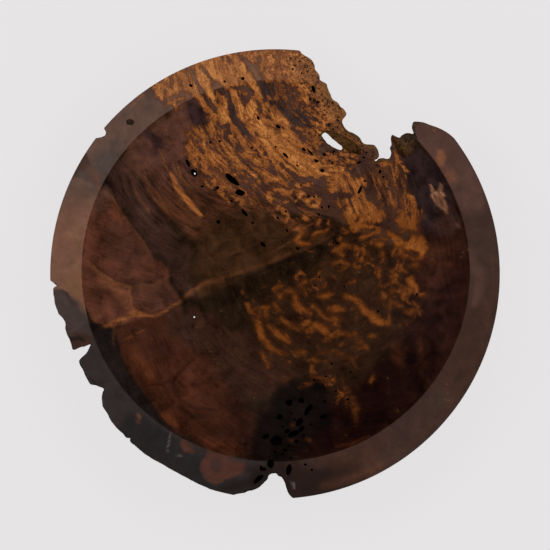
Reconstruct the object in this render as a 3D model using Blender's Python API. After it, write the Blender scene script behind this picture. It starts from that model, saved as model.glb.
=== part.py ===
"""A wide-rimmed dish turned from one piece of walnut burl, with its natural voids left in the rim.

Lengths are in millimetres in the constants and become metres in the mesh. +Z is up, and the origin is the
centre of the flat foot, on the turning axis.
"""

import math

import bmesh
import bpy
from mathutils import Vector, noise

MM = 0.001

# The turned body.
OUTER_RADIUS = 225.0
RIM_EDGE_RADIUS_X = 194.2
RIM_EDGE_RADIUS_Y = 191.0
RIM_EDGE_SHIFT = (0.7, 3.3)  # the hollow dried oval and a little off the rim's centre
RIM_INNER_HEIGHT = 71.0
RIM_OUTER_HEIGHT = 69.0
RIM_CORNER_RADIUS = 2.5
RIM_THICKNESS = 11.0
RIM_LOWER_CORNER = (4.0, 2.0)  # how far in and up the rim's lower corner is eased
RIM_DRAFT = 1.0  # the rim's outer face leans in by this much at its foot
HOLLOW_FLOOR_HEIGHT = 12.0
HOLLOW_POWER = 2.4  # how flat the floor stays before the wall climbs
FOOT_RADIUS = 72.0
FOOT_HEIGHT = 5.0
FOOT_FLARE = 3.0  # the foot widens by this much where it meets the body
FOOT_COVE = (16.0, 3.0)  # the eased corner above the foot: its reach outward and its rise
UNDERSIDE = [(110.0, 14.0), (135.0, 24.5), (155.0, 35.0), (175.0, 47.0), (192.0, 54.5), (208.0, 57.3)]

# How finely the body is faceted.
SEGMENTS = 96
HOLLOW_RINGS = [28.0, 56.0, 80.0, 102.0, 122.0, 141.0, 158.0, 172.0, 184.0]
CLOSING_RADIUS = 262.0  # the void cutters close outside the rim, on this circle
CLOSING_STEP = math.radians(15.0)

# The natural edges, as plan points of the outline that shows from above.
BITE = [
    (23.0, 230.0), (27.0, 221.2), (32.9, 217.0), (36.6, 214.5), (39.5, 209.1), (40.3, 205.0), (44.5, 199.2),
    (45.3, 194.2), (50.7, 190.9), (53.2, 185.9), (54.8, 180.9), (57.3, 176.0), (62.3, 171.8), (66.4, 167.7),
    (71.6, 160.6), (67.7, 154.4), (68.9, 149.4), (72.2, 144.5), (76.4, 142.4), (81.4, 140.3), (85.5, 136.2),
    (88.8, 131.6), (98.8, 129.5), (102.9, 125.4), (104.2, 121.2), (101.7, 117.9), (98.4, 117.3),
    (101.3, 113.8), (103.8, 115.8), (107.9, 116.7), (113.7, 115.4), (116.2, 117.9), (116.6, 122.5),
    (115.4, 126.2), (117.0, 129.5), (116.2, 136.2), (117.4, 139.9), (120.8, 138.2), (124.9, 137.0),
    (127.8, 139.5), (131.5, 141.5), (138.6, 140.3), (137.3, 146.1), (138.6, 151.1), (139.8, 152.4),
    (148.4, 151.9), (157.3, 148.7), (165.6, 145.5), (173.2, 140.4), (179.6, 134.7), (186.5, 127.0),
    (194.0, 124.0),
]
LEFT_VOID = [
    (-230.0, -3.0), (-224.2, -6.5), (-221.3, -8.8), (-218.3, -11.9), (-221.9, -14.5), (-221.3, -23.4),
    (-219.4, -32.4), (-216.5, -40.0), (-213.0, -43.5), (-209.4, -50.2), (-210.0, -53.4), (-208.2, -60.4),
    (-205.3, -65.5), (-203.4, -71.3), (-201.2, -75.7), (-194.2, -73.2), (-190.4, -72.5), (-184.6, -70.3),
    (-186.2, -74.4), (-189.1, -79.5), (-194.2, -84.3), (-195.8, -88.0), (-192.2, -96.0), (-189.1, -103.6),
    (-184.6, -110.0), (-179.5, -111.4), (-171.2, -114.8), (-172.6, -118.9), (-173.1, -125.3),
    (-172.2, -131.7), (-168.6, -138.1), (-164.2, -146.4), (-159.1, -153.4), (-152.1, -159.8),
    (-148.9, -163.9), (-144.7, -164.5), (-143.9, -168.4), (-128.9, -180.8), (-112.3, -190.8),
    (-95.8, -199.9), (-79.2, -209.0), (-64.0, -216.2), (-58.0, -224.0),
]
BOTTOM_VOID = [
    (-46.0, -225.0), (-38.0, -220.4), (-30.0, -218.9), (-26.2, -217.0), (-18.5, -215.1), (-13.2, -211.2),
    (-7.8, -205.5), (-5.9, -201.3), (0.6, -199.4), (3.7, -202.4), (6.3, -202.8), (9.8, -208.5),
    (12.1, -215.8), (14.4, -221.2), (17.5, -224.2), (19.0, -230.0),
]
TOP_LEFT_NICK = [
    (-171.5, 149.5), (-170.9, 145.7), (-169.1, 142.2), (-169.1, 139.9), (-170.5, 138.0), (-175.8, 136.5),
    (-178.5, 135.9), (-183.0, 138.5),
]
THROUGH_HOLE = [
    (46.9, 139.5), (49.9, 142.4), (54.0, 139.9), (59.0, 135.3), (63.9, 131.2), (68.1, 127.4), (66.8, 124.5),
    (61.5, 126.2), (55.7, 129.1), (50.7, 133.3),
]

# Each void: its outline, the plan point it was worn from, how far its top edge is worn back into the wood,
# and the depth of that wear.
OPEN_VOIDS = {
    "bite": (BITE, (98.0, 185.0), 5.0, 9.0),
    "left_void": (LEFT_VOID, (-360.0, -190.0), 1.0, 3.0),
    "bottom_void": (BOTTOM_VOID, (0.0, -250.0), 2.2, 6.0),
    "top_left_nick": (TOP_LEFT_NICK, (-200.0, 160.0), 0.6, 2.0),
}
HOLE_CENTRE = (57.5, 133.5)
HOLE_WEAR = 2.5
HOLE_WEAR_DEPTH = 6.0
WEAR_ROWS = [(0.0, 1.0), (0.22, 0.55), (0.55, 0.2), (1.0, 0.0)]  # share of the depth, share of the wear
RUGGEDNESS = 0.9
RUGGED_SCALE = 0.16

# Bark pits and knot holes: plan x and y, half length, half width, direction in degrees, depth.
PITS = [
    (-48.0, 98.2, 4.4, 2.7, -50.0, 5.5),
    (-39.6, 92.3, 5.4, 3.0, -45.0, 6.5),
    (-35.2, 81.9, 5.2, 3.3, -12.0, 6.0),
    (-31.0, 62.0, 5.0, 1.8, -50.0, 5.0),
    (-81.4, 101.6, 4.6, 2.9, -62.0, 6.0),
    (-58.0, 87.0, 2.0, 2.0, 0.0, 4.0),
    (-57.1, 52.6, 2.4, 2.2, 0.0, 4.0),
    (-12.3, 30.0, 3.6, 1.9, -45.0, 4.0),
    (14.4, -129.4, 4.0, 3.7, 0.0, 6.0),
    (26.5, -127.1, 3.2, 2.9, 0.0, 5.0),
    (33.6, -136.2, 6.8, 2.6, 55.0, 6.0),
    (4.8, -143.5, 3.6, 3.1, 0.0, 5.0),
    (48.4, -143.5, 3.9, 2.6, 15.0, 5.0),
    (23.8, -148.6, 4.6, 3.4, 40.0, 5.5),
    (19.5, -160.2, 5.0, 3.0, 20.0, 5.5),
    (-9.3, -163.0, 4.0, 2.5, 30.0, 5.0),
    (1.6, -167.2, 6.3, 5.4, 10.0, 7.0),
    (10.2, -176.5, 2.4, 2.0, 0.0, 4.0),
    (-4.4, -189.8, 3.6, 4.4, 0.0, 6.0),
    (14.0, -195.6, 6.4, 2.7, 78.0, 6.0),
    (-144.9, 152.0, 4.3, 3.4, -10.0, 3.0),
    (49.6, 120.3, 2.6, 2.0, -50.0, 4.0),
    (85.5, 84.7, 5.2, 1.8, 65.0, 4.0),
    (105.5, 102.9, 2.8, 2.0, 60.0, 4.0),
    (41.3, 113.8, 3.4, 2.2, -35.0, 4.0),
    (38.5, 185.0, 4.2, 1.8, -70.0, 4.0),
]
GROOVE = (69.0, 132.5, 23.5, 6.2, -32.0, 7.5)  # the worn channel that the through hole opens in
TORN_LEDGE = [(115.5, 141.0), (138.8, 141.5), (141.5, 128.0), (131.0, 116.5), (123.5, 121.0)]
LEDGE_DROP = 6.0
LEDGE_TILT = 3.5  # the ledge falls this much more towards the dish's centre
PIT_SINK = 0.35  # a pit cutter's centre stands this share of its depth below the surface

CUTTER_TOP = 95.0
CUTTER_BOTTOM = -12.0
WEAR_START_RISE = 1.0  # the wear's first row stands this far above the surface
SMOOTH_ANGLE = 35.0


def point(x, y, z):
    """A point in metres from millimetres."""
    return Vector((x, y, z)) * MM


def hollow_height(radius):
    """Height of the hollow's surface at a distance from the axis, before the oval shift."""
    mean_edge = (RIM_EDGE_RADIUS_X + RIM_EDGE_RADIUS_Y) / 2
    share = min(radius / mean_edge, 1.0)
    return HOLLOW_FLOOR_HEIGHT + (RIM_INNER_HEIGHT - HOLLOW_FLOOR_HEIGHT) * share**HOLLOW_POWER


def top_height(x, y):
    """Height of the turned top surface over a plan point: the hollow, or the rim outside it."""
    mean_edge = (RIM_EDGE_RADIUS_X + RIM_EDGE_RADIUS_Y) / 2
    inside = math.hypot((x - RIM_EDGE_SHIFT[0]) / RIM_EDGE_RADIUS_X, (y - RIM_EDGE_SHIFT[1]) / RIM_EDGE_RADIUS_Y)
    if inside < 1.0:
        return hollow_height(inside * mean_edge)
    across = (math.hypot(x, y) - mean_edge) / (OUTER_RADIUS - mean_edge)
    return RIM_INNER_HEIGHT + (RIM_OUTER_HEIGHT - RIM_INNER_HEIGHT) * min(max(across, 0.0), 1.0)


def turned_profile():
    """Rings of the body from the hollow's centre over the rim to the foot: radius, height, share of the oval."""
    mean_edge = (RIM_EDGE_RADIUS_X + RIM_EDGE_RADIUS_Y) / 2
    rings = [(r, hollow_height(r), r / mean_edge) for r in HOLLOW_RINGS]
    rings.append((mean_edge, RIM_INNER_HEIGHT, 1.0))
    for angle in (90.0, 45.0, 0.0):
        turn = math.radians(angle)
        rings.append((
            OUTER_RADIUS - RIM_CORNER_RADIUS * (1.0 - math.cos(turn)),
            RIM_OUTER_HEIGHT - RIM_CORNER_RADIUS * (1.0 - math.sin(turn)),
            0.0,
        ))
    rim_foot = RIM_OUTER_HEIGHT - RIM_THICKNESS
    rings.append((OUTER_RADIUS - RIM_DRAFT, rim_foot + RIM_LOWER_CORNER[1], 0.0))
    rings.append((OUTER_RADIUS - RIM_LOWER_CORNER[0], rim_foot, 0.0))
    rings.extend((r, z, 0.0) for r, z in reversed(UNDERSIDE))
    rings.append((FOOT_RADIUS + FOOT_COVE[0], FOOT_HEIGHT + FOOT_COVE[1], 0.0))
    rings.append((FOOT_RADIUS + FOOT_FLARE, FOOT_HEIGHT, 0.0))
    rings.append((FOOT_RADIUS, 0.0, 0.0))
    return rings


def ring_point(radius, height, oval, angle):
    """A point of one turned ring. The oval share moves it from a true circle to the dried hollow's shape."""
    mean_edge = (RIM_EDGE_RADIUS_X + RIM_EDGE_RADIUS_Y) / 2
    stretch_x = 1.0 + oval * (RIM_EDGE_RADIUS_X / mean_edge - 1.0)
    stretch_y = 1.0 + oval * (RIM_EDGE_RADIUS_Y / mean_edge - 1.0)
    return point(
        radius * stretch_x * math.cos(angle) + oval * RIM_EDGE_SHIFT[0],
        radius * stretch_y * math.sin(angle) + oval * RIM_EDGE_SHIFT[1],
        height,
    )


def mesh_object(name, shape):
    """Links a new object that holds the bmesh, with its normals facing out."""
    bmesh.ops.recalc_face_normals(shape, faces=shape.faces)
    mesh = bpy.data.meshes.new(name)
    shape.to_mesh(mesh)
    shape.free()
    made = bpy.data.objects.new(name, mesh)
    bpy.context.scene.collection.objects.link(made)
    return made


def turned_body():
    """The whole dish as it left the lathe, before its voids and pits."""
    shape = bmesh.new()
    angles = [2.0 * math.pi * i / SEGMENTS for i in range(SEGMENTS)]
    loops = [
        [shape.verts.new(ring_point(radius, height, oval, angle)) for angle in angles]
        for radius, height, oval in turned_profile()
    ]
    for upper, lower in zip(loops, loops[1:]):
        for i in range(SEGMENTS):
            j = (i + 1) % SEGMENTS
            shape.faces.new((upper[i], upper[j], lower[j], lower[i]))
    centre_top = shape.verts.new(point(0.0, 0.0, HOLLOW_FLOOR_HEIGHT))
    centre_foot = shape.verts.new(point(0.0, 0.0, 0.0))
    for i in range(SEGMENTS):
        j = (i + 1) % SEGMENTS
        shape.faces.new((centre_top, loops[0][i], loops[0][j]))
        shape.faces.new((centre_foot, loops[-1][i], loops[-1][j]))
    return mesh_object("burl_dish", shape)


def closing_arc(first, last):
    """Points round the outside of the rim, from beyond the edge's last point back to beyond its first."""
    start = math.atan2(last[1], last[0])
    turn = math.atan2(first[1], first[0]) - start
    turn = math.atan2(math.sin(turn), math.cos(turn))
    steps = max(1, math.ceil(abs(turn) / CLOSING_STEP))
    return [
        (CLOSING_RADIUS * math.cos(start + turn * i / steps), CLOSING_RADIUS * math.sin(start + turn * i / steps))
        for i in range(steps + 1)
    ]


def void_cutter(name, natural, closing, worn_from, wear, wear_depth):
    """A tool as tall as the dish whose wall is the natural edge, worn back at the top and rugged all the way."""
    loop = list(natural) + list(closing)
    rows = [(None, CUTTER_TOP, 1.0)]
    rows += [(depth * wear_depth, None, share) for depth, share in WEAR_ROWS]
    rows.append((None, CUTTER_BOTTOM, 0.0))
    shape = bmesh.new()
    grid = []
    for below_top, fixed_height, share in rows:
        row = []
        for i, (x, y) in enumerate(loop):
            height = fixed_height
            if height is None:
                height = top_height(x, y) + WEAR_START_RISE * share - below_top
            if i < len(natural):
                away = Vector((x - worn_from[0], y - worn_from[1])).normalized()
                rough = noise.noise(Vector((x, y, height)) * RUGGED_SCALE) * RUGGEDNESS
                x += away.x * (wear * share + rough)
                y += away.y * (wear * share + rough)
            row.append(shape.verts.new(point(x, y, height)))
        grid.append(row)
    for upper, lower in zip(grid, grid[1:]):
        for i in range(len(loop)):
            j = (i + 1) % len(loop)
            shape.faces.new((upper[i], upper[j], lower[j], lower[i]))
    shape.faces.new(grid[0])
    shape.faces.new(grid[-1])
    bmesh.ops.triangulate(shape, faces=shape.faces)
    return mesh_object(name, shape)


def pit_cutters():
    """All the bark pits and the worn groove as one tool of separate egg shapes."""
    shape = bmesh.new()
    for x, y, half_length, half_width, direction, depth in PITS + [GROOVE]:
        made = bmesh.ops.create_icosphere(shape, subdivisions=1, radius=1.0)["verts"]
        bmesh.ops.scale(shape, verts=made, vec=(half_length, half_width, depth))
        turn = math.radians(direction)
        for vert in made:
            across = Vector((
                vert.co.x * math.cos(turn) - vert.co.y * math.sin(turn),
                vert.co.x * math.sin(turn) + vert.co.y * math.cos(turn),
            ))
            vert.co = point(
                x + across.x,
                y + across.y,
                top_height(x + across.x, y + across.y) - PIT_SINK * depth + vert.co.z,
            )
    return mesh_object("pit_cutters", shape)


def ledge_cutter():
    """The torn step beside the bite, where the rim broke away along the grain."""
    shape = bmesh.new()
    top, floor = [], []
    farthest = max(math.hypot(x, y) for x, y in TORN_LEDGE)
    nearest = min(math.hypot(x, y) for x, y in TORN_LEDGE)
    for x, y in TORN_LEDGE:
        inward = (farthest - math.hypot(x, y)) / (farthest - nearest)
        drop = LEDGE_DROP + LEDGE_TILT * inward
        top.append(shape.verts.new(point(x, y, CUTTER_TOP)))
        floor.append(shape.verts.new(point(x, y, top_height(x, y) - drop)))
    for i in range(len(TORN_LEDGE)):
        j = (i + 1) % len(TORN_LEDGE)
        shape.faces.new((top[i], top[j], floor[j], floor[i]))
    shape.faces.new(top)
    shape.faces.new(floor)
    bmesh.ops.triangulate(shape, faces=shape.faces)
    return mesh_object("ledge_cutter", shape)


def cut(body, tool):
    """Takes the tool's shape out of the body, and keeps the tool out of the render."""
    tool.hide_render = True
    tool.display_type = "WIRE"
    step = body.modifiers.new("cut_" + tool.name, "BOOLEAN")
    step.operation = "DIFFERENCE"
    step.solver = "EXACT"
    step.object = tool


def walnut_burl():
    """Dark oiled walnut burl."""
    material = bpy.data.materials.new("walnut_burl")
    material.use_nodes = True
    surface = material.node_tree.nodes["Principled BSDF"]
    surface.inputs["Base Color"].default_value = (0.075, 0.035, 0.018, 1.0)
    surface.inputs["Roughness"].default_value = 0.42
    surface.inputs["Metallic"].default_value = 0.0
    return material


def main():
    for old in list(bpy.data.objects):
        bpy.data.objects.remove(old)
    dish = turned_body()
    for name, (natural, worn_from, wear, wear_depth) in OPEN_VOIDS.items():
        closing = closing_arc(natural[0], natural[-1])
        cut(dish, void_cutter(name, natural, closing, worn_from, wear, wear_depth))
    cut(dish, void_cutter("through_hole", THROUGH_HOLE, [], HOLE_CENTRE, HOLE_WEAR, HOLE_WEAR_DEPTH))
    cut(dish, ledge_cutter())
    cut(dish, pit_cutters())
    dish.data.shade_smooth()
    dish.data.set_sharp_from_angle(angle=math.radians(SMOOTH_ANGLE))
    dish.data.materials.append(walnut_burl())


main()
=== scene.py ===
"""Dresses the walnut burl dish: a finely turned body with its natural voids, burl figure, dull rim with
painted sheen, and stage.

The frame's lengths are metres. Sizes in this file are millimetres, measured from the dish's axis and up from
its foot, with +Y towards the far rim and +X to the right. They become metres in the meshes.
"""

import math

import bpy
import numpy as np
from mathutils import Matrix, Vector, noise


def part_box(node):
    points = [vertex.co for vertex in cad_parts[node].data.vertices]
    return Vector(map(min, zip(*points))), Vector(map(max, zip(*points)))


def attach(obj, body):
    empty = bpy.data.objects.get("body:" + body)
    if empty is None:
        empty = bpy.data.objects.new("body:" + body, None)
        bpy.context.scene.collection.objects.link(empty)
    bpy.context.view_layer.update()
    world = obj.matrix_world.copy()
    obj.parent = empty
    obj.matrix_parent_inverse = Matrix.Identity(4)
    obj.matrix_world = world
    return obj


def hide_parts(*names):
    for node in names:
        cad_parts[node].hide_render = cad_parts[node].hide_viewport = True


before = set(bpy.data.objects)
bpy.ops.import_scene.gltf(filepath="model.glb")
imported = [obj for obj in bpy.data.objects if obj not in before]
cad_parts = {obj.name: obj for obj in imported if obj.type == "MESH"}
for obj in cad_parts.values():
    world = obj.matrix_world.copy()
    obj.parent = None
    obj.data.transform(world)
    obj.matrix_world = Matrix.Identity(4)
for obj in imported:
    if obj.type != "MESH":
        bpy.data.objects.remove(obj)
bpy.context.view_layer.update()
cad_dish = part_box("burl_dish")

bl_info = {
    "name": "Walnut Burl Dish",
    "version": (1, 0, 0),
    "blender": (4, 5, 0),
    "location": "View3D > Sidebar > Burl Dish",
    "description": "A wide-rimmed dish turned from walnut burl, with its natural voids, and a pale stage",
    "category": "Add Mesh",
}

MM = 0.001
OUTER_RADIUS = (cad_dish[1][0] - cad_dish[0][0]) / 2 / MM
RIM_HEIGHT = cad_dish[1][2] / MM

# The turned outer side and underside: rounded top corner, slanted lower corner, lean of the rim's outer face,
# points of the underside as radius and height, and the foot with its flare and its hollowed shoulder.
RIM_CORNER_RADIUS = 2.5
RIM_LOWER_CORNER = (4.0, 2.0)
RIM_DRAFT = 1.0
UNDERSIDE = [(208.0, 57.3), (192.0, 54.5), (175.0, 47.0), (155.0, 35.0), (135.0, 24.5), (110.0, 14.0)]
FOOT_COVE = (16.0, 3.0)
FOOT_FLARE = 3.0
FOOT_HEIGHT = 5.0
OVAL_ROUNDS = 4  # rounds in which a plan point's place in the oval hollow is found

# The natural edges, as plan points of the outline that shows from above.
BITE = [
    (23.0, 230.0), (27.0, 221.2), (32.9, 217.0), (36.6, 214.5), (39.5, 209.1), (40.3, 205.0), (44.5, 199.2),
    (45.3, 194.2), (50.7, 190.9), (53.2, 185.9), (54.8, 180.9), (57.3, 176.0), (62.3, 171.8), (66.4, 167.7),
    (71.6, 160.6), (67.7, 154.4), (68.9, 149.4), (72.2, 144.5), (76.4, 142.4), (81.4, 140.3), (85.5, 136.2),
    (88.8, 131.6), (98.8, 129.5), (102.9, 125.4), (104.2, 121.2), (101.7, 117.9), (98.4, 117.3),
    (101.3, 113.8), (103.8, 115.8), (107.9, 116.7), (113.7, 115.4), (116.2, 117.9), (116.6, 122.5),
    (115.4, 126.2), (117.0, 129.5), (116.2, 136.2), (117.4, 139.9), (120.8, 138.2), (124.9, 137.0),
    (127.8, 139.5), (131.5, 141.5), (138.6, 140.3), (137.3, 146.1), (138.6, 151.1), (139.8, 152.4),
    (148.4, 151.9), (157.3, 148.7), (165.6, 145.5), (173.2, 140.4), (179.6, 134.7), (186.5, 127.0),
    (194.0, 124.0),
]
LEFT_VOID = [
    (-230.0, -3.0), (-224.2, -6.5), (-221.3, -8.8), (-218.3, -11.9), (-221.9, -14.5), (-221.3, -23.4),
    (-219.4, -32.4), (-216.5, -40.0), (-213.0, -43.5), (-209.4, -50.2), (-210.0, -53.4), (-208.2, -60.4),
    (-205.3, -65.5), (-203.4, -71.3), (-201.2, -75.7), (-194.2, -73.2), (-190.4, -72.5), (-184.6, -70.3),
    (-186.2, -74.4), (-189.1, -79.5), (-194.2, -84.3), (-195.8, -88.0), (-192.2, -96.0), (-189.1, -103.6),
    (-184.6, -110.0), (-179.5, -111.4), (-171.2, -114.8), (-172.6, -118.9), (-173.1, -125.3),
    (-172.2, -131.7), (-168.6, -138.1), (-164.2, -146.4), (-159.1, -153.4), (-152.1, -159.8),
    (-148.9, -163.9), (-144.7, -164.5), (-143.9, -168.4), (-128.9, -180.8), (-112.3, -190.8),
    (-95.8, -199.9), (-79.2, -209.0), (-64.0, -216.2), (-58.0, -224.0),
]
BOTTOM_VOID = [
    (-46.0, -225.0), (-38.0, -220.4), (-30.0, -218.9), (-26.2, -217.0), (-18.5, -215.1), (-13.2, -211.2),
    (-7.8, -205.5), (-5.9, -201.3), (0.6, -199.4), (3.7, -202.4), (6.3, -202.8), (9.8, -208.5),
    (12.1, -215.8), (14.4, -221.2), (17.5, -224.2), (19.0, -230.0),
]
TOP_LEFT_NICK = [
    (-171.5, 149.5), (-170.9, 145.7), (-169.1, 142.2), (-169.1, 139.9), (-170.5, 138.0), (-175.8, 136.5),
    (-178.5, 135.9), (-183.0, 138.5),
]
THROUGH_HOLE = [
    (46.9, 139.5), (49.9, 142.4), (54.0, 139.9), (59.0, 135.3), (63.9, 131.2), (68.1, 127.4), (66.8, 124.5),
    (61.5, 126.2), (55.7, 129.1), (50.7, 133.3),
]
TORN_LEDGE = [(115.5, 141.0), (138.8, 141.5), (141.5, 128.0), (131.0, 116.5), (123.5, 121.0)]

# Each void: its outline, the point it was worn from, how far its top edge is worn back, and the wear's depth.
VOIDS = {
    "bite": (BITE, (98.0, 185.0), 5.0, 9.0),
    "left_void": (LEFT_VOID, (-360.0, -190.0), 1.0, 3.0),
    "bottom_void": (BOTTOM_VOID, (0.0, -250.0), 2.2, 6.0),
    "top_left_nick": (TOP_LEFT_NICK, (-200.0, 160.0), 0.6, 2.0),
    "through_hole": (THROUGH_HOLE, (57.5, 133.5), 2.5, 6.0),
}

# Bark pits and knot holes: plan x and y, half length, half width, direction in degrees, depth. The groove is
# the worn channel that the through hole opens in.
PITS = [
    (-43.2, 95.2, 9.4, 3.3, -42.0, 6.0), (-35.2, 81.9, 5.2, 3.3, -12.0, 6.0),
    (-31.0, 62.0, 5.0, 1.8, -50.0, 5.0), (-81.4, 101.6, 4.6, 2.9, -62.0, 6.0),
    (-58.0, 87.0, 2.0, 2.0, 0.0, 4.0), (-57.1, 52.6, 2.4, 2.2, 0.0, 4.0),
    (-12.3, 30.0, 3.6, 1.9, -45.0, 4.0), (14.4, -129.4, 4.0, 3.7, 0.0, 6.0),
    (26.5, -127.1, 3.2, 2.9, 0.0, 5.0), (33.6, -136.2, 6.8, 2.6, 55.0, 6.0),
    (4.8, -143.5, 3.6, 3.1, 0.0, 5.0), (48.4, -143.5, 3.9, 2.6, 15.0, 5.0),
    (24.6, -148.6, 5.0, 3.0, 58.0, 5.5), (18.5, -160.2, 6.2, 3.2, 20.0, 5.5),
    (26.4, -155.6, 4.2, 2.4, 40.0, 5.0), (12.3, -157.6, 3.2, 1.9, 30.0, 4.0),
    (21.6, -167.6, 2.4, 1.8, 20.0, 4.0), (-14.0, -194.2, 1.6, 3.0, 0.0, 4.0),
    (-9.3, -163.0, 4.0, 2.5, 30.0, 5.0), (1.6, -167.2, 6.3, 5.4, 10.0, 7.0),
    (10.2, -176.5, 2.4, 2.0, 0.0, 4.0), (-4.4, -189.8, 3.6, 4.4, 0.0, 6.0),
    (14.0, -195.6, 6.4, 2.7, 78.0, 6.0), (-144.9, 152.0, 4.3, 3.4, -10.0, 1.4),
    (-16.5, -205.0, 7.0, 2.8, 40.0, 3.5), (49.6, 120.3, 2.0, 1.5, -50.0, 4.0),
    (85.5, 84.7, 4.6, 1.5, 65.0, 4.0), (105.5, 102.9, 2.2, 1.6, 60.0, 4.0),
    (41.3, 113.8, 2.6, 1.6, -35.0, 4.0), (38.5, 185.0, 4.2, 1.8, -70.0, 4.0),
    (-87.6, 111.5, 4.6, 1.5, -62.0, 3.5), (35.5, 122.5, 4.6, 1.2, -45.0, 4.0),
    (10.5, 119.5, 4.2, 1.4, -42.0, 4.0), (47.5, 104.0, 2.3, 1.8, 0.0, 3.0),
]
GROOVE = (69.0, 132.5, 23.5, 6.2, -32.0, 7.5)
# Pinholes: plan x and y, half length, half width, direction in degrees.
PINHOLES = [
    (-73.3, 88.2, 1.6, 1.3, 0), (-44.1, 73.7, 1.6, 1.3, 0), (-22.5, 51.7, 1.5, 1.3, 0),
    (2.5, 56.6, 1.8, 1.2, -45), (29.1, 125.4, 2.8, 1.4, -40), (42.4, 113.8, 1.8, 1.4, 0),
    (57.7, 111.3, 1.5, 1.3, 0), (89.2, 117.1, 1.4, 1.2, 0), (39.0, 184.3, 2.4, 1.2, -60),
    (30.8, 207.5, 2.0, 1.4, -20), (84.4, 112.0, 2.6, 1.3, 20), (33.9, 78.0, 1.5, 1.4, 0),
    (39.6, 78.0, 1.3, 1.3, 0), (47.3, 67.0, 1.3, 1.2, 0), (54.3, 67.9, 2.0, 1.2, 70),
    (44.1, 60.1, 2.0, 1.2, -40), (63.1, 31.0, 1.5, 1.3, 0), (22.7, 25.8, 2.4, 1.2, -40),
    (44.7, -3.1, 1.2, 1.2, 0), (40.5, -11.7, 1.2, 1.2, 0), (69.9, -12.5, 1.4, 1.3, 0),
    (142.5, -20.5, 1.2, 1.2, 0), (103.7, -37.7, 1.2, 1.2, 0), (57.0, -90.1, 1.3, 1.3, 0),
    (76.2, -98.8, 1.2, 1.1, 0), (51.0, -103.1, 1.3, 1.2, 0), (39.7, -106.7, 1.3, 1.3, 0),
    (61.3, -117.8, 1.2, 1.2, 0), (72.9, -125.6, 1.6, 1.4, 0), (50.0, -128.0, 1.2, 1.8, 0),
    (7.5, -153.0, 1.3, 1.1, 0), (29.0, -162.0, 1.5, 1.2, 30), (14.0, -172.0, 1.6, 1.2, 0),
    (36.0, -151.0, 1.4, 1.1, 0), (16.0, -140.0, 1.3, 1.1, 0), (0.0, -178.0, 1.6, 1.2, 0),
    (7.5, -180.2, 1.6, 1.5, 0), (15.9, -183.7, 1.6, 1.5, 0), (36.9, -195.9, 1.5, 1.3, 0),
    (30.4, -190.6, 1.6, 1.4, 0), (-32.3, 195.4, 2.0, 1.8, 0), (-50.2, 192.6, 1.4, 1.2, 0),
    (-16.8, 156.4, 2.4, 1.5, -60), (3.0, 148.0, 3.2, 1.5, -25), (-65.0, 132.2, 1.4, 1.2, 0),
    (-55.5, 133.4, 1.6, 1.4, 0), (0.6, 127.8, 1.4, 1.2, 0), (22.5, 109.2, 1.8, 1.0, -40),
    (-23.2, 127.0, 1.4, 1.3, 0), (12.0, 44.0, 2.0, 1.2, -50), (10.9, 63.0, 1.4, 1.2, 0),
    (26.2, 89.6, 1.3, 1.1, 0), (31.0, 208.0, 1.4, 1.2, 0), (109.0, 97.5, 1.4, 1.2, 0),
    (90.3, 93.6, 1.6, 1.2, 0), (-84.2, 188.5, 2.2, 1.5, -30), (-11.3, -195.2, 2.6, 2.2, 0),
    (19.7, -146.2, 1.3, 1.2, 0),
]
PINHOLE_DEPTH = 3.0
# Pinholes that go right through the wall: plan x and y, radius. They narrow downwards, by these shares of it.
DRILLED = [(-80.8, 101.2, 1.1), (-81.5, -43.5, 1.1)]
DRILLED_TAPER = (0.7, 1.1)
DRILLED_SIDES = 14


def srgb(red, green, blue):
    """Linear colour from the red, green and blue of a screen, each 0 to 255, by the usual screen curve."""
    shares = [value / 255 for value in (red, green, blue)]
    return tuple(share / 12.92 if share <= 0.04045 else ((share + 0.055) / 1.055) ** 2.4 for share in shares)
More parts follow.
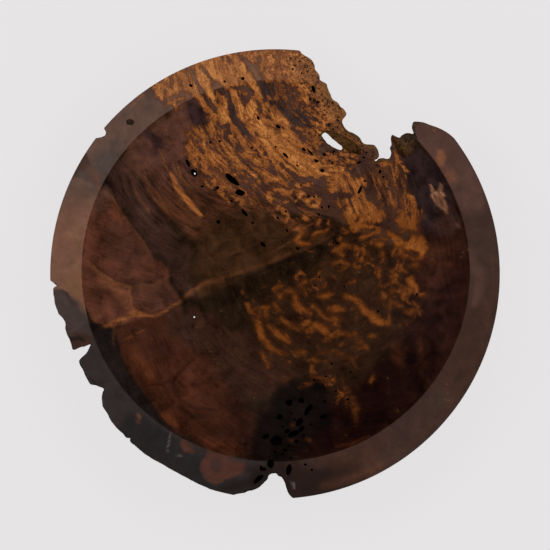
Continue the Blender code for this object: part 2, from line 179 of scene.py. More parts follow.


# The wood's tones: the hollow, its figure and lines, the rim, and the worn wood, with the rim's painted sheen
# among them.
TONES = {
    "left_red": srgb(82, 46, 33),
    "left_brown": srgb(70, 41, 31),
    "left_black": srgb(56, 36, 29),
    "ring_brown": srgb(74, 43, 28),
    "upper_brown": srgb(87, 54, 42),
    "upper_black": srgb(53, 36, 35),
    "olive": srgb(55, 34, 20),
    "olive_dark": srgb(36, 24, 15),
    "right_dark": srgb(40, 20, 15),
    "right_black": srgb(27, 12, 9),
    "right_upper_black": srgb(44, 31, 30),
    "lower_red": srgb(62, 32, 21),
    "lower_brown": srgb(52, 31, 22),
    "lower_dark": srgb(36, 20, 14),
    "void_black": srgb(19, 12, 10),
    "band_black": srgb(30, 23, 21),
    "figure_ground": srgb(45, 27, 17),
    "figure_black": srgb(64, 47, 43),
    "amber_ground": srgb(74, 49, 41),
    "orange_deep": srgb(72, 38, 17),
    "orange_warm": srgb(110, 59, 23),
    "orange_bright": srgb(152, 88, 40),
    "crescent": srgb(158, 94, 48),
    "rose_brown": srgb(74, 38, 27),
    "mottle_brown": srgb(64, 41, 32),
    "right_brown": srgb(66, 36, 25),
    "rim_eye": srgb(63, 41, 35),
    "streak_line": srgb(92, 55, 32),
    "orange_line": srgb(132, 78, 40),
    "peach_streak": srgb(138, 95, 70),
    "rust_light": srgb(90, 46, 25),
    "deep_black": srgb(18, 12, 11),
    "dark_line": srgb(30, 20, 14),
    "ring_light": srgb(112, 68, 43),
    "scratch": srgb(120, 110, 106),
    "rim_pink": srgb(118, 82, 66),
    "rim_tan": srgb(116, 80, 58),
    "rim_grey": srgb(79, 65, 59),
    "rim_grey_brown": srgb(95, 71, 61),
    "rim_amber_ground": srgb(112, 78, 60),
    "rim_rust_brown": srgb(134, 82, 50),
    "rim_smoke": srgb(66, 54, 51),
    "rim_charcoal": srgb(47, 40, 40),
    "rim_charcoal_dark": srgb(32, 30, 32),
    "rim_rust": srgb(76, 45, 36),
    "rim_rust_dark": srgb(58, 37, 31),
    "rim_bottom": srgb(34, 22, 19),
    "rim_right": srgb(60, 40, 33),
    "rim_right_brown": srgb(61, 43, 37),
    "rim_right_upper": srgb(82, 57, 49),
    "rim_spot": srgb(132, 82, 54),
    "rim_orange": srgb(110, 66, 46),
    "rim_veil": srgb(124, 98, 86),
    "worn_amber": srgb(146, 98, 60),
    "worn_brown": srgb(130, 84, 54),
    "worn_umber": srgb(70, 52, 44),
    "worn_olive": srgb(108, 74, 42),
    "worn_grey": srgb(78, 60, 48),
    "worn_dark": srgb(46, 36, 34),
    "worn_black": srgb(20, 14, 13),
}


def length_setting(name, description, millimetres):
    """A length that a user can change, with its default."""
    return bpy.props.FloatProperty(
        name=name, description=description, default=millimetres * MM, unit="LENGTH")


def shift_setting(name, description, millimetres):
    """A shift in plan that a user can change, with its default."""
    metres = tuple(part * MM for part in millimetres)
    return bpy.props.FloatVectorProperty(
        name=name, description=description, size=2, default=metres, unit="LENGTH")


def colour_setting(name, description, tone):
    """A colour that a user can change, with its default."""
    return bpy.props.FloatVectorProperty(
        name=name, description=description, size=3, subtype="COLOR", min=0.0, max=1.0, default=tone)


class DishSizes(bpy.types.PropertyGroup):
    """The sizes that the fine dish is turned and cut to."""

    rim_edge_x: length_setting(
        "Rim edge half width", "From the hollow's middle to the rim's inner edge, left to right", 194.2)
    rim_edge_y: length_setting(
        "Rim edge half depth", "From the hollow's middle to the rim's inner edge, front to back", 191.0)
    rim_edge_shift: shift_setting("Hollow shift", "How far the hollow lies off the axis", (0.7, 3.3))
    rim_drop: length_setting("Rim fall", "How much lower the rim's outer edge is than its inner edge", 2.0)
    rim_thickness: length_setting("Rim thickness", "Height of the rim's outer face", 11.0)
    floor_height: length_setting("Hollow floor", "Height of the hollow's middle above the table", 12.0)
    hollow_power: bpy.props.FloatProperty(
        name="Hollow shape", description="How flat the floor stays before the wall climbs", default=2.4)
    foot_radius: length_setting("Foot radius", "Radius of the flat foot", 72.0)
    top_step: length_setting("Top mesh step", "Spacing of the turned rings on the top", 1.75)
    under_step: length_setting("Underside mesh step", "Spacing of the turned rings below", 4.5)
    edge_step: length_setting("Void mesh step", "Spacing of the points round each void", 1.3)
    ruggedness: length_setting("Ruggedness", "How rough the walls of the voids are", 0.9)


class StageSizes(bpy.types.PropertyGroup):
    """The camera, lights and floor."""

    picture_width: length_setting("Picture width", "Width of the view at the rim's height", 550.0)
    picture_shift: shift_setting("Picture centre", "Where the view's middle lies from the axis", (0.0, -1.0))
    camera_height: length_setting("Camera height", "Camera above the rim", 6000.0)
    floor_tone: colour_setting("Floor colour", "Pale floor", srgb(231, 229, 230))
    light_strength: bpy.props.FloatProperty(
        name="Light strength", description="Scales every soft light", default=1.0, min=0.0)


class BurlTones(bpy.types.PropertyGroup):
    """The colours of the wood, made from the table of tones, and of its figure."""

    amber_bright: colour_setting("Bright amber", "Lightest figure", srgb(204, 132, 70))
    amber_warm: colour_setting("Warm amber", "Middle of the figure", srgb(141, 82, 40))
    amber_deep: colour_setting("Deep amber", "Darkest figure", srgb(80, 46, 29))
    pit: colour_setting("Pit", "Inside of the bark pits", srgb(14, 10, 8))


def tone_setting(key, tone):
    """The colour setting for one of the wood's tones."""
    words = key.replace("_", " ")
    return colour_setting(words.capitalize(), "Wood tone: " + words, tone)


BurlTones.__annotations__.update({key: tone_setting(key, tone) for key, tone in TONES.items()})

# Grounds of the hollow and the underside, laid over each other in this order: tone, softness of its border,
# outline.
# They grow darker towards the lower right and on the hollow's right wall: the wood's own tone with painted
# shade from the light's fall laid in.
HOLLOW_GROUNDS = [
    ("figure_ground", 14, [(-40, 30), (65, 40), (155, 30), (160, -30), (130, -70), (90, -130), (60, -120),
        (20, -112), (-20, -80), (-40, -30)]),
    ("right_dark", 18, [(120, 104), (165, 124), (200, 44), (203, -26), (180, -106), (125, -166), (75, -191),
        (25, -194), (65, -156), (105, -106), (125, -56), (135, -6), (130, 44)]),
    ("right_black", 16, [(55, -126), (145, -56), (165, -86), (125, -146), (75, -181), (5, -191), (-25, -181),
        (-20, -146), (15, -116)]),
    ("right_upper_black", 6, [(125, 134), (150, 124), (175, 89), (187, 49), (175, 34), (150, 42), (140, 74),
        (125, 104)]),
    ("peach_streak", 1.6, [(154, 90), (157, 88), (160, 82), (163, 86), (166, 92), (168, 90), (169, 82),
        (171, 74), (174, 65), (172, 60), (169, 64), (164, 67), (160, 70), (158, 75), (156, 82)]),
    ("lower_red", 14, [(-163, -51), (-95, -26), (-60, -56), (-50, -96), (-35, -126), (-20, -156),
        (-25, -184), (-60, -178), (-95, -161), (-125, -131), (-150, -96)]),
    ("lower_brown", 14, [(-110, -26), (-45, -26), (-15, -66), (15, -106), (5, -126), (-35, -121), (-60, -96),
        (-85, -71), (-110, -66)]),
    ("ring_brown", 12, [(-125, 104), (-100, 124), (-60, 104), (-35, 59), (-60, 29), (-90, 39), (-115, 69)]),
    ("left_black", 8, [(-171, 88), (-163, 104), (-135, 144), (-115, 124), (-125, 94), (-115, 64), (-95, 34),
        (-70, 14), (-75, -26), (-100, -16), (-115, 14), (-140, 44), (-155, 69)]),
    ("left_red", 2, [(-212, 12), (-198, 62), (-181, 82), (-169, 86), (-163, 79), (-157, 69), (-150, 56),
        (-141, 45), (-135, 36), (-129, 28), (-122, 16), (-115, 12), (-107, 5), (-104, -2), (-105, -12),
        (-97, -20), (-95, -28), (-125, -40), (-163, -54), (-180, -48), (-194, -26)]),
    ("left_brown", 14, [(-150, 2), (-128, -4), (-106, -4), (-100, -20), (-100, -28), (-125, -36),
        (-142, -26)]),
    ("left_brown", 12, [(-160, 52), (-140, 39), (-123, 12), (-150, 4), (-167, 24)]),
    ("upper_brown", 24, [(-158, 130), (-125, 155), (-90, 182), (-66, 170), (-62, 139), (-78, 112), (-92, 94),
        (-112, 88), (-134, 94), (-148, 108)]),
    ("upper_black", 4, [(-88, 178), (-70, 166), (-67, 150), (-79, 146), (-87, 162)]),
    ("amber_ground", 8, [(-100, 224), (40, 229), (70, 164), (125, 124), (145, 34), (105, 34), (55, 59),
        (15, 64), (-25, 79), (-60, 89), (-85, 124), (-70, 149), (-75, 174), (-105, 174)]),
    ("figure_black", 6, [(-18, 192), (8, 194), (18, 184), (24, 172), (28, 164), (38, 155), (42, 143),
        (26, 143), (16, 154), (4, 163), (-5, 163), (-11, 174)]),
    ("figure_black", 5, [(-49, 180), (-42, 180), (-40, 160), (-32, 146), (-22, 138), (-28, 136), (-40, 148),
        (-48, 162)]),
    ("mottle_brown", 12, [(10, 78), (40, 86), (66, 92), (96, 102), (125, 120), (132, 84), (146, 60),
        (145, 34), (105, 34), (55, 59), (15, 64)]),
    ("olive", 12, [(-60, 59), (-25, 74), (15, 59), (55, 34), (25, 12), (-25, -11), (-75, -31), (-85, -1),
        (-80, 34)]),
    ("olive_dark", 6, [(-90, -31), (-15, 6), (65, 42), (75, 24), (25, -1), (-15, -26), (-35, -56),
        (-50, -56), (-60, -41)]),
    ("void_black", 14, [(2, -112), (22, -106), (48, -108), (56, -124), (56, -146), (42, -160), (30, -178),
        (8, -192), (-20, -190), (-32, -180), (-30, -162), (-12, -152), (0, -140)]),
    # A dark band along the rim's inner edge at the lower left: black wood with painted shade below the edge.
    ("band_black", 2.5, [(-190, -44), (-175, -54), (-162, -56), (-157, -71), (-150, -96), (-133, -118),
        (-115, -141), (-95, -162), (-70, -178), (-95, -174), (-115, -160), (-135, -138), (-160, -106),
        (-180, -76)]),
]

# Grounds of the rim, in the same way.
# Their tones hold a painted sheen, lighter and greyer than the same wood in the hollow, and grow darker
# towards the lower right with painted shade besides the wood's own tone.
RIM_GROUNDS = [
    ("rim_right_upper", 15, [(130, 165), (165, 160), (205, 100), (210, 60), (185, 60), (160, 110),
        (135, 125)]),
    ("rim_right_brown", 18, [(125, -126), (165, -116), (185, -140), (130, -190), (100, -185)]),
    ("rim_right_brown", 14, [(190, 60), (230, 60), (230, -10), (195, -10)]),
    ("rim_bottom", 15, [(-15, -180), (40, -190), (80, -180), (100, -215), (60, -235), (-10, -240)]),
    ("rim_amber_ground", 3, [(-140, 200), (-60, 240), (60, 240), (80, 150), (-60, 150), (-120, 165)]),
    ("rim_rust_brown", 6, [(-12, 240), (60, 235), (75, 160), (5, 180), (-14, 200)]),
    ("rim_grey_brown", 2.5, [(-122, 188), (-100, 166), (-110, 145), (-170, 90), (-195, 125), (-150, 195)]),
    ("rim_grey", 12, [(-158, 136), (-190, 110), (-205, 88), (-175, 75), (-150, 110)]),
    ("rim_grey_brown", 6, [(-212, 98), (-184, 92), (-165, 80), (-185, -15), (-232, -15), (-230, 40),
        (-215, 80)]),
    ("rim_pink", 34, [(-240, 62), (-200, 74), (-150, 60), (-150, -50), (-250, -50)]),
    ("rim_tan", 4, [(-212, -8), (-190, 10), (-186, -38), (-199, -30)]),
    ("rim_charcoal", 2.5, [(-235, -16), (-213, -16), (-204, -25), (-190, -42), (-170, -60), (-110, -145),
        (-60, -180), (-10, -185), (-10, -240), (-140, -230), (-240, -100)]),
    ("rim_smoke", 8, [(-228, -12), (-206, -18), (-186, -42), (-182, -60), (-206, -62), (-226, -40)]),
    ("rim_charcoal_dark", 9, [(-146, -134), (-120, -150), (-75, -180), (-40, -190), (-30, -230),
        (-120, -215), (-160, -160)]),
    ("rim_rust", 2.2, [(-74, -196), (-73, -188), (-69, -181), (-62, -176), (-52, -176), (-46, -182),
        (-42, -190), (-42, -197), (-46, -203), (-52, -208), (-59, -210), (-66, -208), (-71, -203)]),
    ("rim_eye", 4, [(-65, -190), (-61, -185), (-54, -185), (-50, -190), (-52, -196), (-58, -199),
        (-63, -196)]),
    ("rim_rust", 3.5, [(-48, -186), (-38, -188), (-30, -192), (-30, -198), (-38, -202), (-48, -204)]),
    ("rim_rust", 3, [(-97, -166), (-88, -166), (-80, -178), (-90, -177)]),
    ("rim_rust_dark", 3, [(-200, -56), (-180, -62), (-184, -70), (-200, -76), (-206, -66)]),
]

# Brush strokes over the hollow's grounds: tone, strength, width, softness, points along the stroke.
HOLLOW_STROKES = [
    ("left_brown", 0.7, 26, 16, [(-167, 44), (-152, 24), (-146, 16)]),
    ("rim_grey_brown", 0.45, 18, 14, [(-177, 66), (-169, 81)]),
    ("ring_light", 0.9, 1.3, 1.2, [(-164, 79), (-157, 68), (-150, 56), (-141, 44), (-135, 36), (-129, 28)]),
    ("rust_light", 0.5, 5, 5, [(-166, 74), (-160, 66), (-154, 54)]),
    ("left_black", 0.85, 9, 8, [(-158, 76), (-151, 64), (-144, 54), (-134, 42), (-126, 30), (-116, 20)]),
    ("olive_dark", 0.5, 30, 26, [(-106, 26), (-94, 12), (-86, -2)]),
    ("dark_line", 0.8, 5, 4, [(-121, 20), (-115, 17), (-110, 13)]),
    ("ring_light", 0.6, 4, 3.5, [(-185, 10), (-177, 3), (-170, -3), (-160, -9), (-152, -11), (-145, -14)]),
    ("dark_line", 0.7, 1.1, 1.1, [(-189, 17), (-180, 9), (-171, 1), (-160, -6), (-148, -9)]),
    ("ring_light", 0.5, 9, 9, [(-176, -5), (-163, -14), (-152, -22), (-148, -32)]),
    ("ring_light", 0.65, 2.4, 2, [(-145, -14), (-146, -20), (-144, -26), (-144, -31), (-141, -40)]),
    ("dark_line", 0.45, 1.6, 1.6, [(-142, -13), (-144, -20), (-141, -25), (-142, -32)]),
    ("ring_light", 0.25, 5, 5, [(-144, -12), (-135, -12), (-125, -11), (-115, -7), (-107, -2)]),
    ("ring_light", 0.15, 6, 6, [(-139, -25), (-129, -18), (-118, -12)]),
    ("dark_line", 0.4, 5, 5, [(-135, 10), (-129, 5), (-124, 3)]),
    ("dark_line", 0.4, 6, 6, [(-118, -18), (-112, -24), (-110, -32)]),
    ("orange_line", 0.7, 4.5, 3.5, [(-170, -52), (-165, -50), (-157, -46), (-150, -45)]),
    ("orange_line", 0.7, 2.0, 2, [(-158, -47), (-150, -45), (-142, -42), (-132, -42), (-122, -42),
        (-115, -40), (-107, -35), (-100, -30)]),
    ("orange_line", 0.7, 4.5, 4, [(-145, -39), (-138, -38), (-131, -41)]),
    ("streak_line", 0.65, 5, 5, [(-93, -25), (-82, -17), (-75, -12), (-65, -8), (-55, -6), (-41, -2),
        (-29, 1), (-10, 9), (15, 21)]),
    ("orange_line", 0.35, 1.6, 1.4, [(-92, -23), (-84, -16), (-78, -13)]),
    ("orange_line", 0.5, 2.2, 2.2, [(-102, -31), (-96, -29), (-90, -23)]),
    ("dark_line", 0.85, 5, 5, [(-106, 2), (-104, -10), (-97, -20), (-92, -27), (-91, -34), (-90, -47)]),
    ("left_black", 0.7, 12, 9, [(-90, -44), (-88, -58), (-86, -70)]),
    ("streak_line", 0.5, 1.6, 1.4, [(-161, -54), (-162, -62), (-162, -72)]),
    ("orange_line", 0.28, 2, 2, [(-153, -67), (-144, -62)]),
    ("orange_line", 0.28, 2, 2, [(-139, -60), (-131, -56)]),
    ("rust_light", 0.55, 9, 9, [(-126, -92), (-123, -103), (-125, -110)]),
    ("rust_light", 0.4, 12, 10, [(-150, -76), (-142, -86), (-134, -98)]),
    ("rust_light", 0.75, 7, 6, [(-112, -140), (-105, -146), (-98, -152)]),
    ("rose_brown", 0.6, 15, 12, [(-88, -102), (-82, -112), (-80, -126)]),
    ("rust_light", 0.5, 1.8, 1.8, [(-87, -113), (-84, -119), (-87, -124), (-93, -125)]),
    ("lower_dark", 0.5, 12, 12, [(-74, -150), (-56, -160), (-42, -156)]),
    ("rust_light", 0.4, 8, 8, [(-68, -168), (-54, -172), (-40, -172)]),
    ("rust_light", 0.5, 4, 4, [(-52, -136), (-46, -141)]),
    ("rust_light", 0.5, 1.6, 1.4, [(-98, -149), (-93, -146), (-91, -152)]),
    ("right_dark", 0.8, 4, 3.5, [(-85, -68), (-81, -78), (-85, -88), (-95, -98), (-102, -107), (-99, -120),
        (-92, -128), (-79, -135), (-62, -136)]),
    ("right_dark", 0.6, 2, 2, [(-131, -113), (-122, -111), (-114, -110), (-104, -106)]),
    ("right_dark", 0.5, 2, 2, [(-131, -86), (-122, -82), (-115, -78), (-109, -82), (-106, -92)]),
    ("right_dark", 0.5, 5, 5, [(-112, -112), (-108, -124), (-100, -132)]),
    ("right_dark", 0.6, 7, 6, [(-96, -134), (-84, -142), (-70, -142)]),
    ("right_dark", 0.5, 12, 10, [(-126, -72), (-114, -72), (-104, -78)]),
    ("right_black", 0.6, 22, 18, [(-46, -128), (-34, -148), (-28, -168)]),
    ("lower_brown", 0.7, 24, 18, [(-64, -78), (-44, -92), (-30, -100)]),
    ("streak_line", 0.45, 1.3, 1.2, [(-70, -68), (-65, -78), (-60, -86), (-56, -91)]),
    ("dark_line", 0.5, 1.4, 1.2, [(-68, -70), (-63, -80), (-57, -89)]),
    ("streak_line", 0.4, 1.2, 1.2, [(-42, -75), (-36, -84), (-28, -91)]),
    ("dark_line", 0.6, 1.4, 1.2, [(-41, -77), (-35, -87), (-25, -94), (-15, -100), (-7, -102)]),
    ("rust_light", 0.4, 1.4, 1.4, [(-31, -164), (-34, -172), (-32, -180)]),
    ("upper_black", 0.9, 10, 6, [(-130, 143), (-122, 137), (-117, 129), (-119, 121)]),
    ("upper_black", 0.3, 18, 16, [(-138, 130), (-128, 122), (-122, 118)]),
    ("deep_black", 0.7, 7, 5, [(-170, 92), (-165, 91), (-161, 83)]),
    ("ring_light", 0.55, 4.5, 4.5, [(-131, 99), (-127, 86), (-121, 76), (-114, 69), (-107, 63)]),
    ("rust_light", 0.4, 5, 5, [(-120, 84), (-112, 73), (-102, 64), (-92, 56)]),
    ("ring_light", 0.35, 3, 3, [(-143, 92), (-136, 76), (-126, 62)]),
    ("left_black", 0.6, 3, 3, [(-136, 96), (-132, 84), (-126, 74), (-116, 62)]),
    ("left_black", 0.6, 3.5, 3.5, [(-124, 98), (-118, 84), (-108, 72), (-96, 60)]),
    ("left_black", 0.6, 3, 3, [(-104, 98), (-98, 84), (-88, 72), (-78, 64)]),
    ("crescent", 1.0, 5.0, 2.4, [(-105, 102), (-100, 89), (-92, 78), (-84, 69), (-74, 59)]),
    ("crescent", 0.6, 1.6, 1.2, [(-98, 108), (-94, 98), (-87, 88)]),
    ("ring_light", 0.5, 1.6, 1.4, [(-102, 112), (-98, 100), (-91, 90)]),
    ("orange_line", 0.35, 2, 2, [(-116, 126), (-109, 108), (-97, 88)]),
    ("ring_light", 0.5, 8, 7, [(-60, 108), (-48, 92), (-36, 78), (-14, 60)]),
    ("orange_line", 0.35, 3, 3, [(-66, 112), (-54, 96), (-44, 84)]),
    ("upper_black", 0.6, 6, 5, [(-91, 116), (-86, 106), (-80, 98)]),
    ("upper_black", 0.5, 5, 5, [(-77, 86), (-70, 78), (-62, 72)]),
    ("dark_line", 0.5, 4, 4, [(-40, 78), (-26, 66), (-6, 60)]),
    ("olive", 0.6, 10, 8, [(-34, 68), (-10, 54), (24, 40)]),
    ("streak_line", 0.35, 3, 3, [(-20, 5), (10, 16), (40, 30), (60, 40)]),
    ("dark_line", 0.8, 6, 5, [(-48, -6), (-20, 3), (12, 14), (44, 26), (64, 34)]),
    ("streak_line", 0.5, 1.6, 1.4, [(29, 39), (18, 34), (4, 26), (-3, 22)]),
    ("dark_line", 0.35, 1.4, 1.4, [(-80, 32), (-30, 40), (10, 50)]),
    ("dark_line", 0.35, 1.4, 1.4, [(-60, 18), (-20, 26), (20, 36)]),
    ("streak_line", 0.3, 1.2, 1.2, [(-72, 14), (-52, 20), (-30, 24)]),
    ("dark_line", 0.35, 1.2, 1.2, [(-58, -36), (-40, -62), (-22, -86), (0, -100)]),
    ("dark_line", 0.45, 1.4, 1.2, [(-43, -73), (-35, -90), (-22, -98)]),
    ("rust_light", 0.3, 5, 5, [(118, 20), (150, 14), (176, 10)]),
    ("right_black", 0.5, 8, 6, [(120, -40), (150, -46), (178, -40)]),
    ("right_brown", 0.5, 24, 20, [(173, 64), (173, 40), (168, 20)]),
    ("rust_light", 0.3, 12, 12, [(118, -72), (126, -88)]),
    ("lower_red", 0.35, 12, 12, [(146, -60), (150, -80), (146, -96)]),
    ("right_brown", 0.5, 30, 24, [(150, 36), (158, 10), (158, -14)]),
    ("right_brown", 0.35, 3, 3, [(150, -22), (166, -24), (184, -20)]),
    ("right_black", 0.4, 3, 3, [(150, -14), (166, -17), (186, -14)]),
    ("rust_light", 0.35, 3, 2.5, [(60, -172), (76, -170), (94, -162)]),
    ("right_upper_black", 0.8, 1.3, 1.2, [(158, 84), (160, 77), (162, 70)]),
    ("right_upper_black", 0.8, 1.4, 1.2, [(163, 84), (165, 77), (168, 68)]),
    ("right_upper_black", 0.6, 1.1, 1, [(167, 86), (168, 79), (170, 71)]),
    ("right_upper_black", 0.6, 0.9, 1, [(161, 79), (162, 73)]),
    ("peach_streak", 0.6, 2.4, 1.8, [(170, 66), (173, 61)]),
    ("rim_orange", 0.4, 3, 3, [(182, 50), (185, 46)]),
]

# Brush strokes over the rim's grounds, in the same way.
RIM_STROKES = [
    ("rim_grey_brown", 0.5, 14, 12, [(-190, 108), (-178, 92)]),
    ("rim_tan", 0.5, 10, 9, [(-206, 60), (-200, 30), (-204, 0)]),
    ("rim_orange", 0.35, 8, 7, [(-186, 104), (-180, 96), (-176, 86)]),
    ("rim_grey", 0.45, 1.2, 1.2, [(-210, 57), (-203, 42), (-194, 25)]),
    ("rim_tan", 0.3, 1.4, 1.4, [(-200, 76), (-206, 60), (-210, 46)]),
    ("rim_charcoal_dark", 0.4, 6, 6, [(-186, -44), (-180, -56), (-172, -66)]),
    ("rim_charcoal_dark", 0.7, 3, 2, [(-203, -64), (-196, -62), (-190, -66)]),
    ("rim_spot", 0.5, 3.4, 2.6, [(-137.5, -140), (-135, -144)]),
    ("rim_orange", 0.4, 4, 3, [(-138, -147), (-136, -149)]),
    ("scratch", 0.5, 1.1, 1.5, [(-105, -157), (-106, -168), (-108, -176)]),
    ("scratch", 0.5, 1.8, 1.4, [(-108, -177), (-107, -178)]),
    ("scratch", 0.4, 1.6, 1.4, [(-98, -181), (-94, -182)]),
    ("rim_charcoal", 0.5, 1.3, 1.2, [(-73, -190), (-71, -200), (-63, -206), (-54, -206), (-47, -199)]),
    ("rim_charcoal", 0.25, 8, 5, [(-62, -186), (-59, -192), (-58, -196)]),
    ("rim_rust", 0.7, 2, 1.4, [(-68, -184), (-66, -195), (-58, -202), (-50, -198), (-47, -190)]),
    ("worn_black", 0.8, 4, 3, [(-209, -62), (-203, -66), (-196, -64), (-190, -67)]),
    ("worn_black", 0.5, 3, 3, [(-186, -104), (-182, -106), (-180, -110)]),
    ("worn_black", 0.8, 12, 10, [(-52, -214), (-38, -212), (-24, -206), (-18, -196)]),
    ("worn_black", 0.9, 13, 6, [(-24, -211), (-16, -204), (-9, -199)]),
    ("scratch", 0.6, 2, 1.4, [(16, -208), (19, -210), (19, -215)]),
    ("worn_black", 0.6, 9, 8, [(-30, -194), (-14, -198), (2, -190), (12, -196)]),
    ("worn_black", 0.6, 6, 5, [(14, -196), (14, -206), (12, -214)]),
    ("rim_spot", 0.8, 11, 6, [(166, 120), (167, 111)]),
    ("rim_spot", 0.7, 3, 2.5, [(158, 145), (160, 142)]),
    ("rim_spot", 0.6, 3.4, 2.6, [(-137, 175), (-132, 179)]),
    ("rim_spot", 0.6, 3, 2.4, [(-143, 168), (-139, 171)]),
    ("rim_orange", 0.7, 10, 8, [(171, 100), (180, 94)]),
    ("rim_right_upper", 0.7, 12, 10, [(195, 20), (206, -4), (200, -30)]),
    ("rim_right_brown", 0.6, 18, 14, [(140, -150), (156, -140), (168, -124)]),
    ("rim_right", 0.5, 2, 2, [(132, -146), (146, -164)]),
    ("rim_bottom", 0.5, 3, 3, [(92, -184), (104, -198)]),
    ("rim_bottom", 0.4, 8, 7, [(20, -200), (44, -204), (60, -200)]),
    ("rim_orange", 0.16, 22, 18, [(60, -190), (96, -182)]),
    ("rim_orange", 0.25, 10, 9, [(46, -212), (80, -204), (104, -192)]),
]

# Raw wood below the skin: worn and torn faces, in the same way as the grounds.
RAW_GROUNDS = [
    ("worn_umber", 10, [(-200, 60), (-160, 60), (-80, 90), (-60, 140), (-110, 200), (-200, 200)]),
    ("worn_dark", 14, [(-240, 60), (-160, 60), (-60, -160), (-40, -240), (-240, -240)]),
    ("worn_black", 10, [(-60, -180), (40, -110), (80, -110), (60, -240), (-60, -240)]),
    ("worn_olive", 8, [(40, 150), (64, 152), (112, 132), (120, 100), (60, 90), (36, 120)]),
    ("worn_grey", 5, [(110, 160), (150, 160), (230, 160), (230, 0), (160, 90), (114, 108)]),
]

# How bright the amber figure is on the whole, from 0 to 1, laid over each other in this order: level,
# softness of the border, outline.
AMBER_FIELDS = [
    (0.42, 10, [(-123, 187), (-45, 226), (43, 226), (75, 169), (93, 134), (70, 92), (45, 82), (5, 78),
        (-25, 80), (-47, 83), (-62, 91), (-75, 104), (-83, 117), (-88, 129), (-86, 144), (-66, 148),
        (-68, 160), (-76, 172), (-94, 179), (-102, 167)]),
    (0.42, 12, [(-82, 146), (-68, 142), (-48, 134), (-30, 132), (-13, 109), (15, 89), (10, 70), (-20, 70),
        (-48, 78), (-62, 90), (-74, 108), (-80, 128)]),
    (0.40, 9, [(-78, 128), (-68, 130), (-62, 112), (-58, 98), (-66, 98), (-76, 112)]),
    (0.46, 6, [(-40, 116), (-22, 114), (-14, 100), (-26, 92), (-40, 100)]),
    (0.30, 5, [(-50, 128), (-34, 127), (-28, 114), (-40, 112), (-50, 118)]),
    (0.68, 5, [(-125, 189), (-85, 212), (-35, 224), (-30, 196), (-70, 186), (-92, 176), (-110, 168)]),
    (0.85, 6, [(-10, 224), (30, 225), (44, 210), (25, 206), (-5, 207)]),
    (0.20, 5, [(-17, 193), (10, 193), (18, 183), (23, 171), (26, 164), (37, 154), (40, 144), (27, 143),
        (17, 154), (5, 163), (-4, 163), (-10, 174), (-15, 184)]),
    (0.64, 7, [(28, 198), (44, 194), (58, 168), (64, 150), (46, 144), (36, 158), (28, 176)]),
    (0.74, 4, [(-40, 171), (-32, 170), (-21, 173), (-16, 168), (-20, 161), (-14, 154), (-7, 146), (-5, 139),
        (-15, 141), (-22, 144), (-30, 149), (-36, 156), (-40, 164)]),
    (0.12, 7, [(-30, 80), (-14, 90), (0, 94), (20, 92), (44, 92), (56, 84), (34, 64), (10, 54), (-12, 60),
        (-32, 68)]),
    (0.50, 6, [(15, 120), (75, 124), (71, 112), (64, 100), (40, 96), (12, 102)]),
    (0.30, 8, [(60, 104), (96, 104), (108, 84), (106, 44), (70, 50), (55, 84)]),
    (0.17, 8, [(96, 116), (128, 112), (132, 84), (146, 60), (140, 40), (108, 50), (104, 84)]),
    (0.50, 5, [(60, 104), (75, 100), (74, 88), (62, 88)]),
    (0.34, 5, [(76, 90), (90, 94), (93, 80), (90, 70), (76, 70)]),
    (0.11, 8, [(-4, 66), (30, 74), (75, 60), (125, 70), (140, 40), (60, 30), (28, 30), (10, 45)]),
    (0.44, 8, [(76, 72), (98, 69), (108, 60), (106, 42), (92, 35), (74, 38), (70, 58)]),
    (0.32, 6, [(122, 72), (134, 84), (142, 72), (146, 58), (143, 44), (132, 42), (124, 54)]),
    (0.07, 8, [(-29, -26), (-20, -11), (10, 24), (25, 36), (55, 40), (85, 44), (125, 39), (151, 24),
        (153, -26), (140, -48), (117, -56), (110, -76), (85, -86), (77, -104), (77, -126), (80, -151),
        (70, -151), (57, -126), (43, -108), (25, -111), (10, -101), (-13, -71)]),
    (0.13, 8, [(60, 30), (100, 36), (148, 26), (150, -20), (120, -34), (80, -10)]),
    (0.01, 7, [(72, 12), (88, 6), (104, -6), (102, -20), (86, -18), (74, -6)]),
    (0.01, 7, [(40, -90), (56, -88), (70, -96), (64, -104), (44, -104)]),
    (0.62, 4, [(118, 38), (133, 32), (140, 39), (148, 34), (150, 23), (147, 16), (143, 24), (136, 27),
        (129, 28), (122, 29)]),
]

# Where the figure's tones lean to orange, and how softly that fades.
ORANGE_ZONE = [(-50, -30), (10, 40), (60, 62), (150, 60), (180, -20), (140, -200), (40, -200), (-60, -120)]
ORANGE_FADE = 40.0

